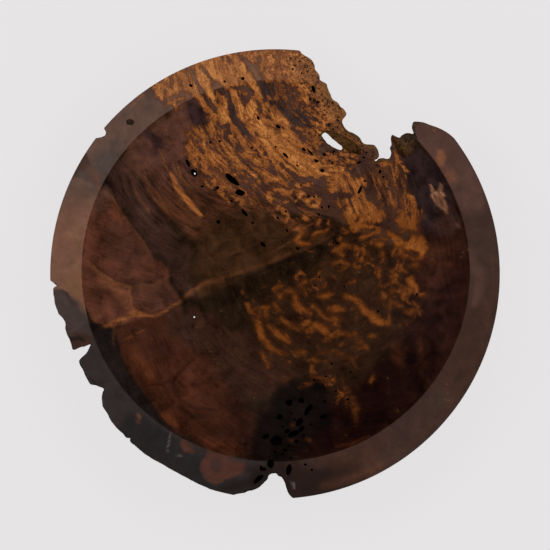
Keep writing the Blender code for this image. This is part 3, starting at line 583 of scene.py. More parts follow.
# Single bright strands of the figure: points along it, its width, its brightness.
AMBER_STRANDS = [
    ([(-120, 188), (-110, 180), (-105, 174), (-102, 169)], 6, 0.62),
    ([(-102, 198), (-97, 190), (-95, 184)], 5, 0.7),
    ([(-95, 200), (-90, 195), (-85, 186), (-79, 180), (-72, 171), (-69, 164), (-62, 159)], 5, 0.72),
    ([(-79, 210), (-76, 199), (-72, 190), (-66, 183), (-62, 174), (-57, 164), (-54, 159)], 4.6, 0.82),
    ([(-70, 213), (-62, 204), (-55, 196), (-47, 190), (-41, 187)], 6, 0.8),
    ([(-62, 215), (-54, 211), (-47, 205), (-45, 196), (-46, 191)], 7, 0.68),
    ([(-41, 220), (-39, 211), (-34, 203), (-27, 195), (-20, 191), (-15, 184), (-11, 174),
        (-10, 165)], 9, 0.78),
    ([(-47, 188), (-42, 180), (-41, 173)], 5, 0.66),
    ([(-64, 158), (-54, 158), (-47, 154)], 7, 0.7),
    ([(-62, 152), (-65, 146), (-64, 139)], 7, 0.6),
    ([(-42, 149), (-39, 143), (-37, 134)], 5, 0.68),
    ([(-20, 137), (-10, 129), (-2, 120), (5, 111), (15, 104), (26, 98)], 11, 0.92),
    ([(-12, 146), (0, 137), (10, 127), (20, 118), (30, 111), (42, 101)], 13, 0.8),
    ([(-10, 154), (0, 151), (10, 144), (17, 136), (25, 131), (36, 124)], 8, 0.62),
    ([(-20, 136), (-17, 128), (-11, 118), (-5, 107)], 2, 0.55),
    ([(-2, 114), (4, 105)], 2.4, 0.6),
    ([(-88, 138), (-84, 144), (-78, 141), (-80, 134)], 1.6, 0.45),
    ([(-71, 95), (-66, 88), (-62, 86)], 2, 0.6),
    ([(-50, 76), (-46, 73)], 3, 0.6),
    ([(-33, 86), (-22, 82), (-18, 84)], 3, 0.4),
    ([(29, 167), (36, 163)], 5, 0.5),
    ([(37, 144), (43, 133)], 5, 0.55),
    ([(20, 91), (32, 90)], 7, 0.55),
    ([(0, 84), (10, 83), (18, 84)], 5, 0.45),
    ([(-7, 80), (-4, 73)], 5, 0.6),
    ([(21, 74), (27, 80), (32, 81)], 4, 0.55),
    ([(34, 74), (39, 76), (45, 77), (44, 72), (39, 68)], 6, 0.65),
    ([(0, 65), (6, 68), (8, 62), (13, 61), (13, 55), (11, 51)], 3.4, 0.38),
    ([(9, 71), (13, 74)], 3, 0.55),
    ([(29, 57), (36, 53)], 4, 0.45),
    ([(44, 54), (43, 49)], 4, 0.45),
    ([(24, 46), (26, 40), (22, 34), (27, 31), (34, 30)], 5, 0.55),
    ([(38, 37), (46, 41), (53, 44)], 4, 0.55),
    ([(84, 88), (81, 76), (84, 66)], 5, 0.5),
    ([(100, 56), (108, 57)], 3, 0.6),
    ([(79, 89), (87, 95), (91, 92)], 7, 0.62),
    ([(62, 99), (68, 95), (72, 90)], 8, 0.45),
    ([(121, 106), (123, 95)], 4, 0.5),
    ([(113, 95), (112, 89)], 4, 0.42),
    ([(102, 81), (105, 76)], 4, 0.38),
    ([(115, 82), (116, 78)], 4, 0.36),
    ([(107, 68), (107, 60)], 4, 0.42),
    ([(120, 124), (124, 115), (127, 110), (130, 106), (133, 102)], 3.4, 0.5),
    ([(105, 111), (116, 110)], 6, 0.5),
    ([(135, 80), (140, 71), (143, 60), (142, 50)], 3, 0.5),
    ([(128, 62), (131, 50)], 5, 0.5),
    ([(113, 41), (120, 39), (124, 33), (126, 29), (134, 29), (141, 31)], 7, 0.68),
    ([(138, 36), (146, 33), (149, 26), (147, 18)], 7, 0.72),
    ([(87, 37), (93, 38), (102, 42)], 4.5, 0.58),
    ([(102, 30), (107, 31)], 7, 0.58),
    ([(107, 21), (109, 18)], 6, 0.45),
    ([(60, 24), (67, 27), (73, 29), (81, 27), (83, 25)], 4.5, 0.55),
    ([(62, 26), (67, 20), (68, 17)], 5, 0.5),
    ([(60, 11), (66, 13), (73, 9), (70, 5)], 4.5, 0.5),
    ([(65, 34), (72, 43)], 4.5, 0.5),
    ([(60, 10), (66, 13), (73, 9), (70, 5)], 4.5, 0.35),
    ([(90, 27), (90, 20)], 5, 0.35),
    ([(96, 14), (98, 14)], 4.5, 0.3),
    ([(80, 8), (86, 7)], 3.5, 0.3),
    ([(103, 5), (104, -1)], 8, 0.4),
    ([(125, 4), (131, 3)], 5.5, 0.35),
    ([(126, 16), (130, 16)], 4, 0.25),
    ([(137, 8), (144, 9)], 7, 0.3),
    ([(112, -11), (122, -4)], 3.5, 0.3),
    ([(75, -7), (81, -6)], 5, 0.3),
    ([(136, -5), (139, -12), (143, -18)], 6.5, 0.85),
    ([(147, -21), (149, -22)], 3, 0.6),
    ([(109, -19), (111, -25)], 6.5, 0.4),
    ([(115, -19), (120, -16)], 3.5, 0.35),
    ([(106, -12), (109, -12)], 3.5, 0.35),
    ([(122, -17), (128, -17)], 5, 0.35),
    ([(132, -16), (129, -25)], 5, 0.4),
    ([(117, -28), (129, -33)], 5, 0.3),
    ([(140, -31), (146, -37)], 4, 0.4),
    ([(132, -38), (141, -38)], 5.5, 0.25),
    ([(72, -23), (82, -26), (90, -37), (98, -42), (104, -48), (116, -50)], 7, 0.45),
    ([(99, -47), (109, -48)], 4, 0.7),
    ([(53, -21), (57, -20)], 4.5, 0.35),
    ([(56, -35), (68, -35)], 8, 0.4),
    ([(56, -44), (63, -45)], 5, 0.35),
    ([(93, -63), (101, -63)], 4, 0.3),
    ([(115, -40), (114, -49)], 5, 0.35),
    ([(-28, -30), (-24, -38), (-18, -49), (-15, -61), (-8, -71), (0, -77), (10, -81)], 6.5, 0.42),
    ([(-32, -16), (-28, -24)], 2, 0.2),
    ([(-6, -52), (0, -58), (8, -63), (15, -68)], 7, 0.4),
    ([(-18, -35), (-13, -35), (-7, -34)], 4.5, 0.35),
    ([(-11, -35), (-10, -44)], 4.5, 0.4),
    ([(-1, -31), (4, -37)], 3.5, 0.35),
    ([(6, -44), (15, -51), (24, -57)], 4, 0.42),
    ([(24, -57), (29, -52), (35, -47)], 6, 0.4),
    ([(0, -17), (5, -23), (11, -18), (20, -18)], 5, 0.38),
    ([(2, -16), (8, -11)], 4, 0.35),
    ([(20, -19), (20, -29), (27, -35), (33, -39)], 6, 0.38),
    ([(38, -33), (45, -38), (51, -45), (60, -48)], 4, 0.4),
    ([(34, -58), (41, -52), (49, -56), (52, -61), (50, -66)], 7.5, 0.42),
    ([(27, -8), (32, -8)], 4.5, 0.42),
    ([(28, -14), (29, -14)], 3.5, 0.35),
    ([(31, -20), (32, -21)], 4, 0.4),
    ([(43, -23), (53, -22)], 6, 0.4),
    ([(21, -79), (30, -79)], 5, 0.35),
    ([(-14, -79), (-10, -86), (-8, -94)], 6, 0.3),
    ([(53, -66), (68, -59), (81, -64), (94, -76)], 6, 0.28),
    ([(41, -82), (58, -77), (75, -84), (83, -95)], 5, 0.16),
    ([(65, -107), (75, -119), (81, -135), (81, -147)], 8, 0.13),
    ([(38, -104), (53, -107)], 6, 0.25),
    ([(25, -114), (38, -110)], 4, 0.25),
    ([(-8, -102), (8, -107), (20, -102)], 5, 0.12),
    ([(120, -70), (130, -74)], 10, 0.08),
    ([(145, -68), (146, -84)], 5, 0.12),
    ([(96, -110), (98, -104)], 2, 0.4),
    ([(32, -165), (36, -169)], 4, 0.16),
    ([(15, -166), (19, -167)], 2.4, 0.14),
    ([(17, -151), (20, -153)], 1.6, 0.2),
    ([(28, -178), (32, -177)], 2, 0.14),
]

# Single dark strands and patches over the figure: points along it, its width, its strength.
DARK_STRANDS = [
    ([(-84, 206), (-80, 196), (-75, 186), (-69, 176), (-66, 168)], 4.5, 0.8),
    ([(-73, 209), (-68, 200), (-61, 192), (-54, 186), (-48, 180)], 5, 0.7),
    ([(-66, 176), (-64, 168), (-59, 162)], 5, 1.0),
    ([(-47, 218), (-43, 210)], 4.5, 0.9),
    ([(-36, 220), (-28, 210), (-20, 200), (-15, 192)], 7, 0.7),
    ([(-104, 200), (-101, 190)], 4, 0.5),
    ([(-104, 176), (-94, 180), (-86, 178)], 6, 0.7),
    ([(-58, 186), (-52, 183), (-48, 179)], 8, 0.8),
    ([(-43, 186), (-32, 187), (-24, 182), (-28, 175), (-34, 178)], 6.5, 0.9),
    ([(-46, 174), (-44, 165), (-41, 155), (-34, 146), (-27, 139), (-22, 138)], 6.5, 1.0),
    ([(-46, 172), (-46, 166)], 8, 1.0),
    ([(-54, 147), (-47, 148), (-46, 142), (-51, 139)], 6, 0.9),
    ([(-60, 142), (-52, 137), (-42, 128), (-30, 122)], 4, 0.6),
    ([(-58, 150), (-56, 150)], 4, 0.6),
    ([(-17, 194), (-13, 187), (-10, 181), (-9, 173)], 7, 1.0),
    ([(-16, 166), (-16, 163)], 5, 1.0),
    ([(-15, 129), (-7, 118), (0, 108)], 2.6, 0.9),
    ([(-20, 124), (-13, 112)], 2.2, 0.8),
    ([(4, 112), (12, 104), (24, 96), (40, 95), (46, 88), (52, 77)], 5.5, 1.0),
    ([(16, 150), (24, 140), (30, 134)], 4.5, 0.9),
    ([(2, 149), (7, 146)], 3, 1.0),
    ([(38, 188), (40, 182)], 3.5, 1.0),
    ([(35, 174), (42, 167)], 5, 0.9),
    ([(30, 210), (31, 208)], 5, 0.8),
    ([(8, 198), (10, 195)], 5, 0.7),
    ([(-12, 205), (-7, 205)], 3.5, 0.6),
    ([(-9, 218), (-4, 218)], 3.5, 0.7),
    ([(72, 106), (80, 102), (90, 103), (95, 99), (97, 88), (95, 74)], 5, 1.0),
    ([(99, 74), (104, 70)], 6, 0.7),
    ([(101, 49), (111, 52), (122, 48), (128, 46)], 6, 0.9),
    ([(134, 64), (136, 56)], 3.5, 0.6),
    ([(90, 42), (98, 43), (108, 48)], 4, 0.5),
    ([(42, 90), (48, 79), (53, 75)], 9, 1.0),
    ([(58, 80), (76, 80)], 7, 0.8),
    ([(46, 51), (59, 60), (72, 69)], 3, 0.9),
    ([(68, 39), (84, 37)], 8, 0.8),
    ([(94, 36), (112, 41)], 4, 0.8),
    ([(93, 60), (94, 60)], 2.6, 0.8),
    ([(117, 13), (117, 8)], 13, 0.7),
    ([(105, -30), (108, -36)], 6, 0.7),
    ([(58, -57), (75, -52), (91, -62), (98, -74)], 4, 0.8),
    ([(43, -102), (53, -97), (63, -104), (68, -114)], 4, 0.8),
    ([(42, -59), (43, -59)], 3.5, 0.8),
    ([(47, -63), (48, -64)], 3.5, 0.7),
    ([(66, 9), (67, 8)], 4, 0.6),
]

# The torn ledge: how deep it lies, how much more towards the axis, and the spacing of its cutter's points.
LEDGE_DROP = 6.0
LEDGE_TILT = 3.5
LEDGE_STEP = 3.0

# The pits: how far below the surface a pit's middle lies, as a share of its depth, and its bumps' scale.
PIT_SINK = 0.35
PIT_BUMP_SCALE = 1.6

# The voids' walls: share of the wear's depth and share of the wear for each row, the rows below them, how far
# the first row stands above the surface, how far the cutters reach past the wood, and the roughness.
WEAR_ROWS = [(0.0, 1.0), (0.12, 0.74), (0.25, 0.52), (0.4, 0.34), (0.6, 0.17), (0.8, 0.06), (1.0, 0.0)]
WALL_ROW_STEP = 1.5
WALL_DEPTH = 24.0
WEAR_START_RISE = 1.0
CUTTER_TOP = 95.0
CUTTER_BOTTOM = -12.0
CLOSING_RADIUS = 262.0
CLOSING_STEP = math.radians(15.0)
RUGGED_SCALE = 0.16
RUGGED_FINE_SCALE = 0.55
RUGGED_FINE_SHARE = 0.4

# The lathe's mesh: segments of the innermost rings, the radii past which each ring has twice as many, how
# often that happens below, and where the line counts as below: past this radius, and this far above the rim's
# foot.
FIRST_SEGMENTS = 48
DOUBLING_RADII = (15.5, 33.0, 65.0, 129.0)
UNDER_DOUBLINGS = 2
UNDER_FROM_RADIUS = 200.0
UNDER_FROM_RISE = 5.0
FOOT_STEPS = 3  # steps of the underside's rings for one step of the foot's
WELD_DISTANCE = 0.02
ON_AXIS = 0.01
SMOOTH_ANGLE = math.radians(42.0)
MOST_TRIANGLES = 199000

# The noise that makes the painted borders waver: the factors that mix a lattice point's numbers, how much
# finer its second layer is, and what is added to the seed for the second layer and the second direction.
LATTICE_FACTORS = (374761393, 668265263, 144269504, 1274126177)
LATTICE_MASK = 0xFFFFFFFF
WAVER_FINENESS = 3.3
WAVER_FINE_SEED = 7
WAVER_SECOND_SEED = 50

# How far the borders of grounds, strokes and fields waver, and what each millimetre of softness adds to that,
# then the size of the waves and what softness adds to it. Each entry has its own seed.
GROUND_WAVER = (0.7, 0.32, 7.0, 1.0)
STROKE_WAVER = (0.1, 0.16, 7.0, 1.0)
FIELD_WAVER = (1.0, 0.4, 9.0, 0.0)
GROUND_SEED_STEP = 13
STROKE_SEED = 500
FIELD_SEED = 400
FIELD_SEED_STEP = 17
# How the strands of the figure and the grain waver: reach, size of the waves, seed.
STRAND_WAVER = (1.5, 7.0, 901)
GRAIN_WAVER = (1.2, 12.0, 700)

FAR_AWAY = 1e6  # farther than any point lies from any line

# The strands: the width at a strand's ends as a share of its middle's, the depths between which a bright
# one's light takes over, and the least width of a dark one, as a share, for the weakest.
STRAND_END_SHARE = 0.6
LIGHT_BLEND = (-5.0, -2.5)
DARK_LEAST_WIDTH = 0.55

# The painted layers: how far from a strand, and how far under the skin, a vertex still knows it. A vertex
# counts as lying below from the first share of the way through the wall on, and wholly from the second. A
# pit's black fades between these shares of its size, and is full from the second of these depths on. The
# rim's outer face still counts as skin this deep, and its lower corner this far in.
FIGURE_REACH = 6.0
EDGE_REACH = 8.0
BELOW_SHARES = (0.55, 0.9)
PIT_FADE = (1.45, 1.0)
PIT_DEPTHS = (0.5, 3.0)
SIDE_SKIN = 0.4
CORNER_SKIN = 0.5

# Weathered skin beside the voids: points along it, its width and strength. Then how softly it fades.
WEATHERED = [
    ([(28, 226), (36, 208), (44, 190), (56, 168), (66, 152)], 22, 1.0),
    ([(44, 206), (58, 172), (72, 150), (84, 138)], 16, 1.0),
    ([(60, 150), (74, 140), (90, 130), (104, 120)], 16, 0.9),
    ([(40, 146), (46, 138), (58, 126), (70, 120)], 9, 0.6),
    ([(16, 214), (24, 202), (32, 188), (38, 174)], 11, 0.45),
]
WEATHER_FADE = 7.0

# The rings of grain: a region's outline, the middle of its rings, and how strongly they show. The first
# region that holds a point sets its grain.
GRAIN_REGIONS = [
    ([(66, 100), (84, 110), (110, 106), (122, 84), (122, 50), (112, 38), (76, 40),
        (62, 66)], (-60.0, 20.0), 0.4),
    ([(112, 126), (150, 108), (158, 44), (140, 30), (112, 40)], (-160.0, 60.0), 0.5),
    ([(-160, 118), (-125, 155), (-90, 182), (-66, 172), (-66, 140), (-84, 124), (-104, 112), (-126, 110),
        (-140, 104)], (100.0, 234.0), 0.3),
    ([(-240, -60), (-168, -52), (-135, -42), (-98, -29), (-107, -1), (-119, 16), (-141, 40), (-151, 60),
        (-165, 80), (-240, 90)], (-60.0, 300.0), 0.4),
    ([(-98, -29), (-60, -10), (10, 14), (64, 36), (40, 52), (-10, 52), (-60, 44), (-90, 20),
        (-107, -1)], (-300.0, 700.0), 0.2),
    ([(-107, -1), (-90, 20), (-60, 44), (-10, 52), (0, 66), (-40, 84), (-66, 104), (-68, 150), (-75, 174),
        (-120, 190), (-240, 120), (-240, 90), (-165, 80), (-151, 60), (-141, 40),
        (-119, 16)], (-13.0, 164.0), 1.0),
    ([(-240, -60), (-168, -52), (-135, -42), (-98, -29), (-60, -10), (10, 14), (64, 36), (160, 30),
        (170, -60), (120, -150), (40, -240), (-240, -240)], (55.0, 14.0), 0.45),
    ([(130, 130), (160, 100), (150, 30), (170, -60), (120, -150), (60, -240), (260, -240),
        (260, 130)], (-200.0, -60.0), 0.5),
    (None, (100.0, 234.0), 0.75),
]

# How far the grain runs in one radian of its rings, how softly a region's grain begins, and how the rings
# wander: the size of the waves, their reach and their seed.
GRAIN_TURN = 150.0
GRAIN_FADE = 14.0
GRAIN_WANDER = [(45.0, 8, 720), (17.0, 2, 725)]

# Noises that run along the grain: how much a step along it counts beside one across it, the level at which
# they are cut, then size, detail, roughness and distortion. Noises that lie flat have the last four.
GRAIN_NOISES = {
    "bands": (0.10, 3.0, 9.0, 3.0, 0.6, 0.3),
    "streaks": (0.07, 17.0, 3.0, 3.0, 0.65, 0.2),
    "hairs": (0.06, 29.0, 1.3, 2.0, 0.7, 0.0),
    "worms": (0.15, 7.0, 9.0, 3.0, 0.55, 0.8),
    "crumbs": (0.28, 53.0, 4.4, 4.0, 0.6, 0.7),
    "veins": (0.07, 61.0, 9.0, 2.0, 0.5, 0.5),
    "holes": (0.4, 41.0, 3.4, 3.0, 0.6, 0.5),
    "cracks": (0.25, 71.0, 10.0, 3.0, 0.6, 1.2),
}
FLAT_NOISES = {
    "blotches": (32.0, 4.0, 0.6, 0.9),
    "creases": (22.0, 3.0, 0.55, 1.2),
    "smudges": (15.0, 4.0, 0.55, 0.7),
    "coils": (15.0, 2.0, 0.5, 1.0),
    "nibble": (4.6, 3.0, 0.65, 0.6),
    "speckle": (2.2, 2.0, 0.7, 0.0),
    "pepper": (2.1, 2.0, 0.6, 0.0),
}

# The crust of raw wood, in the same way. Then two outputs by number: a Texture Coordinate's place on the
# object, and the fourth value of a painted colour.
CRUST_NOISE = (3.0, 4.0, 0.65, 0.0)
OBJECT_PLACE = 3
PAINT_LAST = 3

# The rim's painted sheen, which stands in for the light's reflection on the flat rim: how much grey is laid
# over it, how much of a pale painted sheen lies over its figure, and how sharp its inner edge is, as a share
# of the hollow's width.
RIM_SHEEN_GREY = 0.12
RIM_SHEEN_VEIL = 0.1
EDGE_LINE = 0.004

# The finish: what its sheen adds to every tone in soft light, which is taken off the wood's colours again,
# its gloss, and the roughness of the hollow's skin and of raw wood.
SHEEN_LIFT = 0.0025
SKIN_GLOSS = 0.03
SKIN_ROUGHNESS = 0.42
RAW_ROUGHNESS = 0.9

# The stage, in metres: the floor's width and its glowing share, the world's light, the camera's sensor in
# millimetres, and each soft light's place, size and power.
FLOOR_SIZE = 60.0
FLOOR_GLOW = 0.9
WORLD_STRENGTH = 0.55
SENSOR_WIDTH = 36.0
SOFT_LIGHTS = [
    ("left_light", (-2.2, 0.6, 2.2), 1.6, 17.0),
    ("right_light", (2.2, 0.6, 2.2), 1.6, 17.0),
    ("near_light", (0.0, -2.4, 2.2), 1.6, 15.0),
    ("far_light", (0.3, 2.4, 2.4), 1.6, 17.0),
]


def select_nothing():
    """Leaves edit mode, with nothing selected."""
    if bpy.context.object and bpy.context.object.mode != "OBJECT":
        bpy.ops.object.mode_set(mode="OBJECT")
    bpy.ops.object.select_all(action="DESELECT")


def show_only(piece):
    """Makes the piece the only one selected, in object mode."""
    select_nothing()
    piece.select_set(True)
    bpy.context.view_layer.objects.active = piece


def smooth_line(points, step):
    """Points about one step apart on a smooth curve through the given points."""
    ends = [2 * np.array(points[0]) - np.array(points[1])] + [np.array(p) for p in points]
    ends.append(2 * np.array(points[-1]) - np.array(points[-2]))
    line = []
    for before, start, end, after in zip(ends, ends[1:], ends[2:], ends[3:]):
        pieces = max(1, round(float(np.linalg.norm(end - start)) / step))
        for i in range(pieces):
            t = i / pieces
            line.append(tuple(0.5 * (
                2 * start + (end - before) * t + (2 * before - 5 * start + 4 * end - after) * t**2
                + (3 * start - before - 3 * end + after) * t**3)))
    line.append(tuple(ends[-2]))
    return line


def trace(name, points):
    """A wire drawn from point to point, each point in metres, and left open in edit mode."""
    select_nothing()
    bpy.ops.mesh.primitive_plane_add(size=MM, location=(0, 0, 0))
    wire = bpy.context.object
    wire.name = name
    wire.data.name = name
    bpy.ops.object.mode_set(mode="EDIT")
    bpy.ops.mesh.select_mode(type="VERT")
    bpy.ops.mesh.select_all(action="SELECT")
    bpy.ops.mesh.merge(type="CENTER")
    bpy.ops.transform.translate(value=points[0])
    for here, there in zip(points, points[1:]):
        move = tuple(b - a for a, b in zip(here, there))
        bpy.ops.mesh.extrude_region_move(TRANSFORM_OT_translate={"value": move})
    return wire


def plan_of(piece):
    """The piece's vertices as an array of millimetres."""
    places = np.empty(len(piece.data.vertices) * 3, np.float32)
    piece.data.vertices.foreach_get("co", places)
    return places.reshape(-1, 3).astype(float) / MM


def place_all(piece, places):
    """Puts the piece's vertices at the given millimetres."""
    piece.data.vertices.foreach_set("co", (places * MM).astype(np.float32).ravel())
    piece.data.update()


class Form:
    """The turned form of the dish, in millimetres, from its settings."""

    def __init__(self, sizes):
        self.edge_x = sizes.rim_edge_x / MM
        self.edge_y = sizes.rim_edge_y / MM
        self.shift = (sizes.rim_edge_shift[0] / MM, sizes.rim_edge_shift[1] / MM)
        self.mean_edge = (self.edge_x + self.edge_y) / 2
        self.floor = sizes.floor_height / MM
        self.power = sizes.hollow_power
        self.rim_outer = RIM_HEIGHT - sizes.rim_drop / MM
        self.rim_foot = self.rim_outer - sizes.rim_thickness / MM
        self.foot_radius = sizes.foot_radius / MM
        self.top_step = sizes.top_step / MM
        self.under_step = sizes.under_step / MM

    def hollow_height(self, radius):
        """Height of the hollow at a distance from the axis, before the oval shift."""
        share = np.minimum(radius / self.mean_edge, 1.0)
        return self.floor + (RIM_HEIGHT - self.floor) * share**self.power

    def top_height(self, x, y):
        """Height of the turned top over a plan point: the hollow, or the rim outside it."""
        inside = np.hypot(x, y) / self.mean_edge
        for _ in range(OVAL_ROUNDS):
            stretch_x = 1 + inside * (self.edge_x / self.mean_edge - 1)
            stretch_y = 1 + inside * (self.edge_y / self.mean_edge - 1)
            from_x = (x - inside * self.shift[0]) / stretch_x
            from_y = (y - inside * self.shift[1]) / stretch_y
            inside = np.hypot(from_x, from_y) / self.mean_edge
        across = (np.hypot(x, y) - self.mean_edge) / (OUTER_RADIUS - self.mean_edge)
        rim = RIM_HEIGHT + (self.rim_outer - RIM_HEIGHT) * np.clip(across, 0.0, 1.0)
        return np.where(inside < 1.0, self.hollow_height(inside * self.mean_edge), rim)

    def underside(self):
        """Points of the underside from the rim's lower corner to the foot, as radius and height."""
        curve = [(OUTER_RADIUS - RIM_LOWER_CORNER[0], self.rim_foot)] + UNDERSIDE
        curve.append((self.foot_radius + FOOT_COVE[0], FOOT_HEIGHT + FOOT_COVE[1]))
        return smooth_line(curve, self.under_step) + [(self.foot_radius + FOOT_FLARE, FOOT_HEIGHT)]

    def under_height(self, radius):
        """Height of the underside at a distance from the axis."""
        line = [(0.0, 0.0), (self.foot_radius, 0.0)] + self.underside()[::-1]
        line.append((OUTER_RADIUS, self.rim_foot + RIM_LOWER_CORNER[1]))
        return np.interp(radius, [p[0] for p in line], [p[1] for p in line])

    def profile(self):
        """The lathe's line from the hollow's middle over the rim to the foot's middle: radius and height."""
        hollow = round(self.mean_edge / self.top_step)
        radii = [self.mean_edge * i / hollow for i in range(hollow)]
        line = [(radius, self.hollow_height(radius)) for radius in radii]
        corner_start = OUTER_RADIUS - RIM_CORNER_RADIUS
        rim = round((corner_start - self.mean_edge) / self.top_step)
        for i in range(rim):
            radius = self.mean_edge + (corner_start - self.mean_edge) * i / rim
            line.append((radius, RIM_HEIGHT + (self.rim_outer - RIM_HEIGHT) * i / rim))
        for degrees in (90, 60, 30, 0):
            turn = math.radians(degrees)
            line.append((OUTER_RADIUS - RIM_CORNER_RADIUS * (1 - math.cos(turn)),
                         self.rim_outer - RIM_CORNER_RADIUS * (1 - math.sin(turn))))
        line.append((OUTER_RADIUS - RIM_DRAFT / 2, (self.rim_outer + self.rim_foot) / 2))
        line.append((OUTER_RADIUS - RIM_DRAFT, self.rim_foot + RIM_LOWER_CORNER[1]))
        line += self.underside()
        line.append((self.foot_radius, 0.0))
        foot = round(self.foot_radius / (FOOT_STEPS * self.under_step))
        line += [(self.foot_radius * (foot - i) / foot, 0.0) for i in range(1, foot + 1)]
        return line


def turn_on_lathe(form):
    """The whole dish as it left the lathe, spun from its profile, with finer and finer rings outwards."""
    line = form.profile()
    under_from = form.rim_foot + UNDER_FROM_RISE
    top_points = next(
        i for i, (radius, height) in enumerate(line) if height < under_from and radius > UNDER_FROM_RADIUS)
    dish = trace("walnut_burl_dish", [(radius * MM, 0.0, height * MM) for radius, height in line])
    bpy.ops.mesh.select_all(action="SELECT")
    bpy.ops.mesh.spin(steps=FIRST_SEGMENTS, angle=math.tau, center=(0, 0, 0), axis=(0, 0, 1))
    bpy.ops.mesh.select_all(action="SELECT")
    bpy.ops.mesh.remove_doubles(threshold=WELD_DISTANCE * MM)
    bpy.ops.mesh.normals_make_consistent(inside=False)
    bpy.ops.object.mode_set(mode="OBJECT")
    profile = np.array(line)
    number_rings(dish, profile, top_points)
    bpy.context.tool_settings.mesh_select_mode = (False, True, False)
    for level in range(1, len(DOUBLING_RADII) + 1):
        double_rings(dish, level, profile)
    make_oval(dish, form, profile, top_points)
    for key in ("ring", "doublings"):
        dish.data.attributes.remove(dish.data.attributes[key])
    return dish


def number_rings(dish, profile, top_points):
    """Gives each vertex its ring's number on the profile, and how often that ring is doubled."""
    places = plan_of(dish)
    radii = np.hypot(places[:, 0], places[:, 1])
    gaps = (radii[:, None] - profile[None, :, 0])**2 + (places[:, 2][:, None] - profile[None, :, 1])**2
    number = gaps.argmin(axis=1)
    doublings = np.array([sum(radius > limit for limit in DOUBLING_RADII) for radius in profile[:, 0]])
    doublings[top_points:] = np.minimum(doublings[top_points:], UNDER_DOUBLINGS)
    doublings[top_points] = len(DOUBLING_RADII) - 1
    for key, values in (("ring", number), ("doublings", doublings[number])):
        layer = dish.data.attributes.new(key, "FLOAT", "POINT")
        layer.data.foreach_set("value", values.astype(np.float32))


def make_oval(dish, form, profile, top_points):
    """Stretches and shifts the rings of the hollow, the more the nearer they lie to its edge."""
    places = plan_of(dish)
    ring = np.rint(read_values(dish, "ring")).astype(int)
    hollow = (profile[ring, 0] <= form.mean_edge + ON_AXIS) & (ring < top_points)
    share = np.where(hollow, profile[ring, 0] / form.mean_edge, 0.0)
    for i, edge in enumerate((form.edge_x, form.edge_y)):
        places[:, i] = places[:, i] * (1 + share * (edge / form.mean_edge - 1)) + share * form.shift[i]
    place_all(dish, places)


def read_values(piece, key):
    """The numbers of one of the piece's point attributes."""
    values = np.empty(len(piece.data.vertices), np.float32)
    piece.data.attributes[key].data.foreach_get("value", values)
    return values


def double_rings(dish, level, profile):
    """Splits the edges along each ring that has this many doublings, and turns the new points true."""
    ring = np.rint(read_values(dish, "ring"))
    doublings = read_values(dish, "doublings")
    ends = np.empty(len(dish.data.edges) * 2, np.int32)
    dish.data.edges.foreach_get("vertices", ends)
    ends = ends.reshape(-1, 2)
    chosen = (ring[ends[:, 0]] == ring[ends[:, 1]]) & (doublings[ends[:, 0]] > level - 0.5)
    bpy.ops.object.mode_set(mode="EDIT")
    bpy.ops.mesh.select_all(action="DESELECT")
    bpy.ops.object.mode_set(mode="OBJECT")
    dish.data.edges.foreach_set("select", chosen)
    bpy.ops.object.mode_set(mode="EDIT")
    bpy.ops.mesh.subdivide(number_cuts=1, smoothness=0)
    bpy.ops.object.mode_set(mode="OBJECT")
    places = plan_of(dish)
    ring = np.rint(read_values(dish, "ring")).astype(int)
    radii = np.hypot(places[:, 0], places[:, 1])
    off_axis = radii > ON_AXIS
    true = profile[ring, 0] / np.where(off_axis, radii, 1.0)
    places[:, :2] *= np.where(off_axis, true, 1.0)[:, None]
    place_all(dish, places)


def closing_arc(first, last):
    """Points round the outside of the rim, from beyond the edge's last point back to beyond its first."""
    start = math.atan2(last[1], last[0])
    turn = math.atan2(first[1], first[0]) - start
    turn = math.atan2(math.sin(turn), math.cos(turn))
    steps = max(1, math.ceil(abs(turn) / CLOSING_STEP))
    angles = [start + turn * i / steps for i in range(steps + 1)]
    return [(CLOSING_RADIUS * math.cos(angle), CLOSING_RADIUS * math.sin(angle)) for angle in angles]


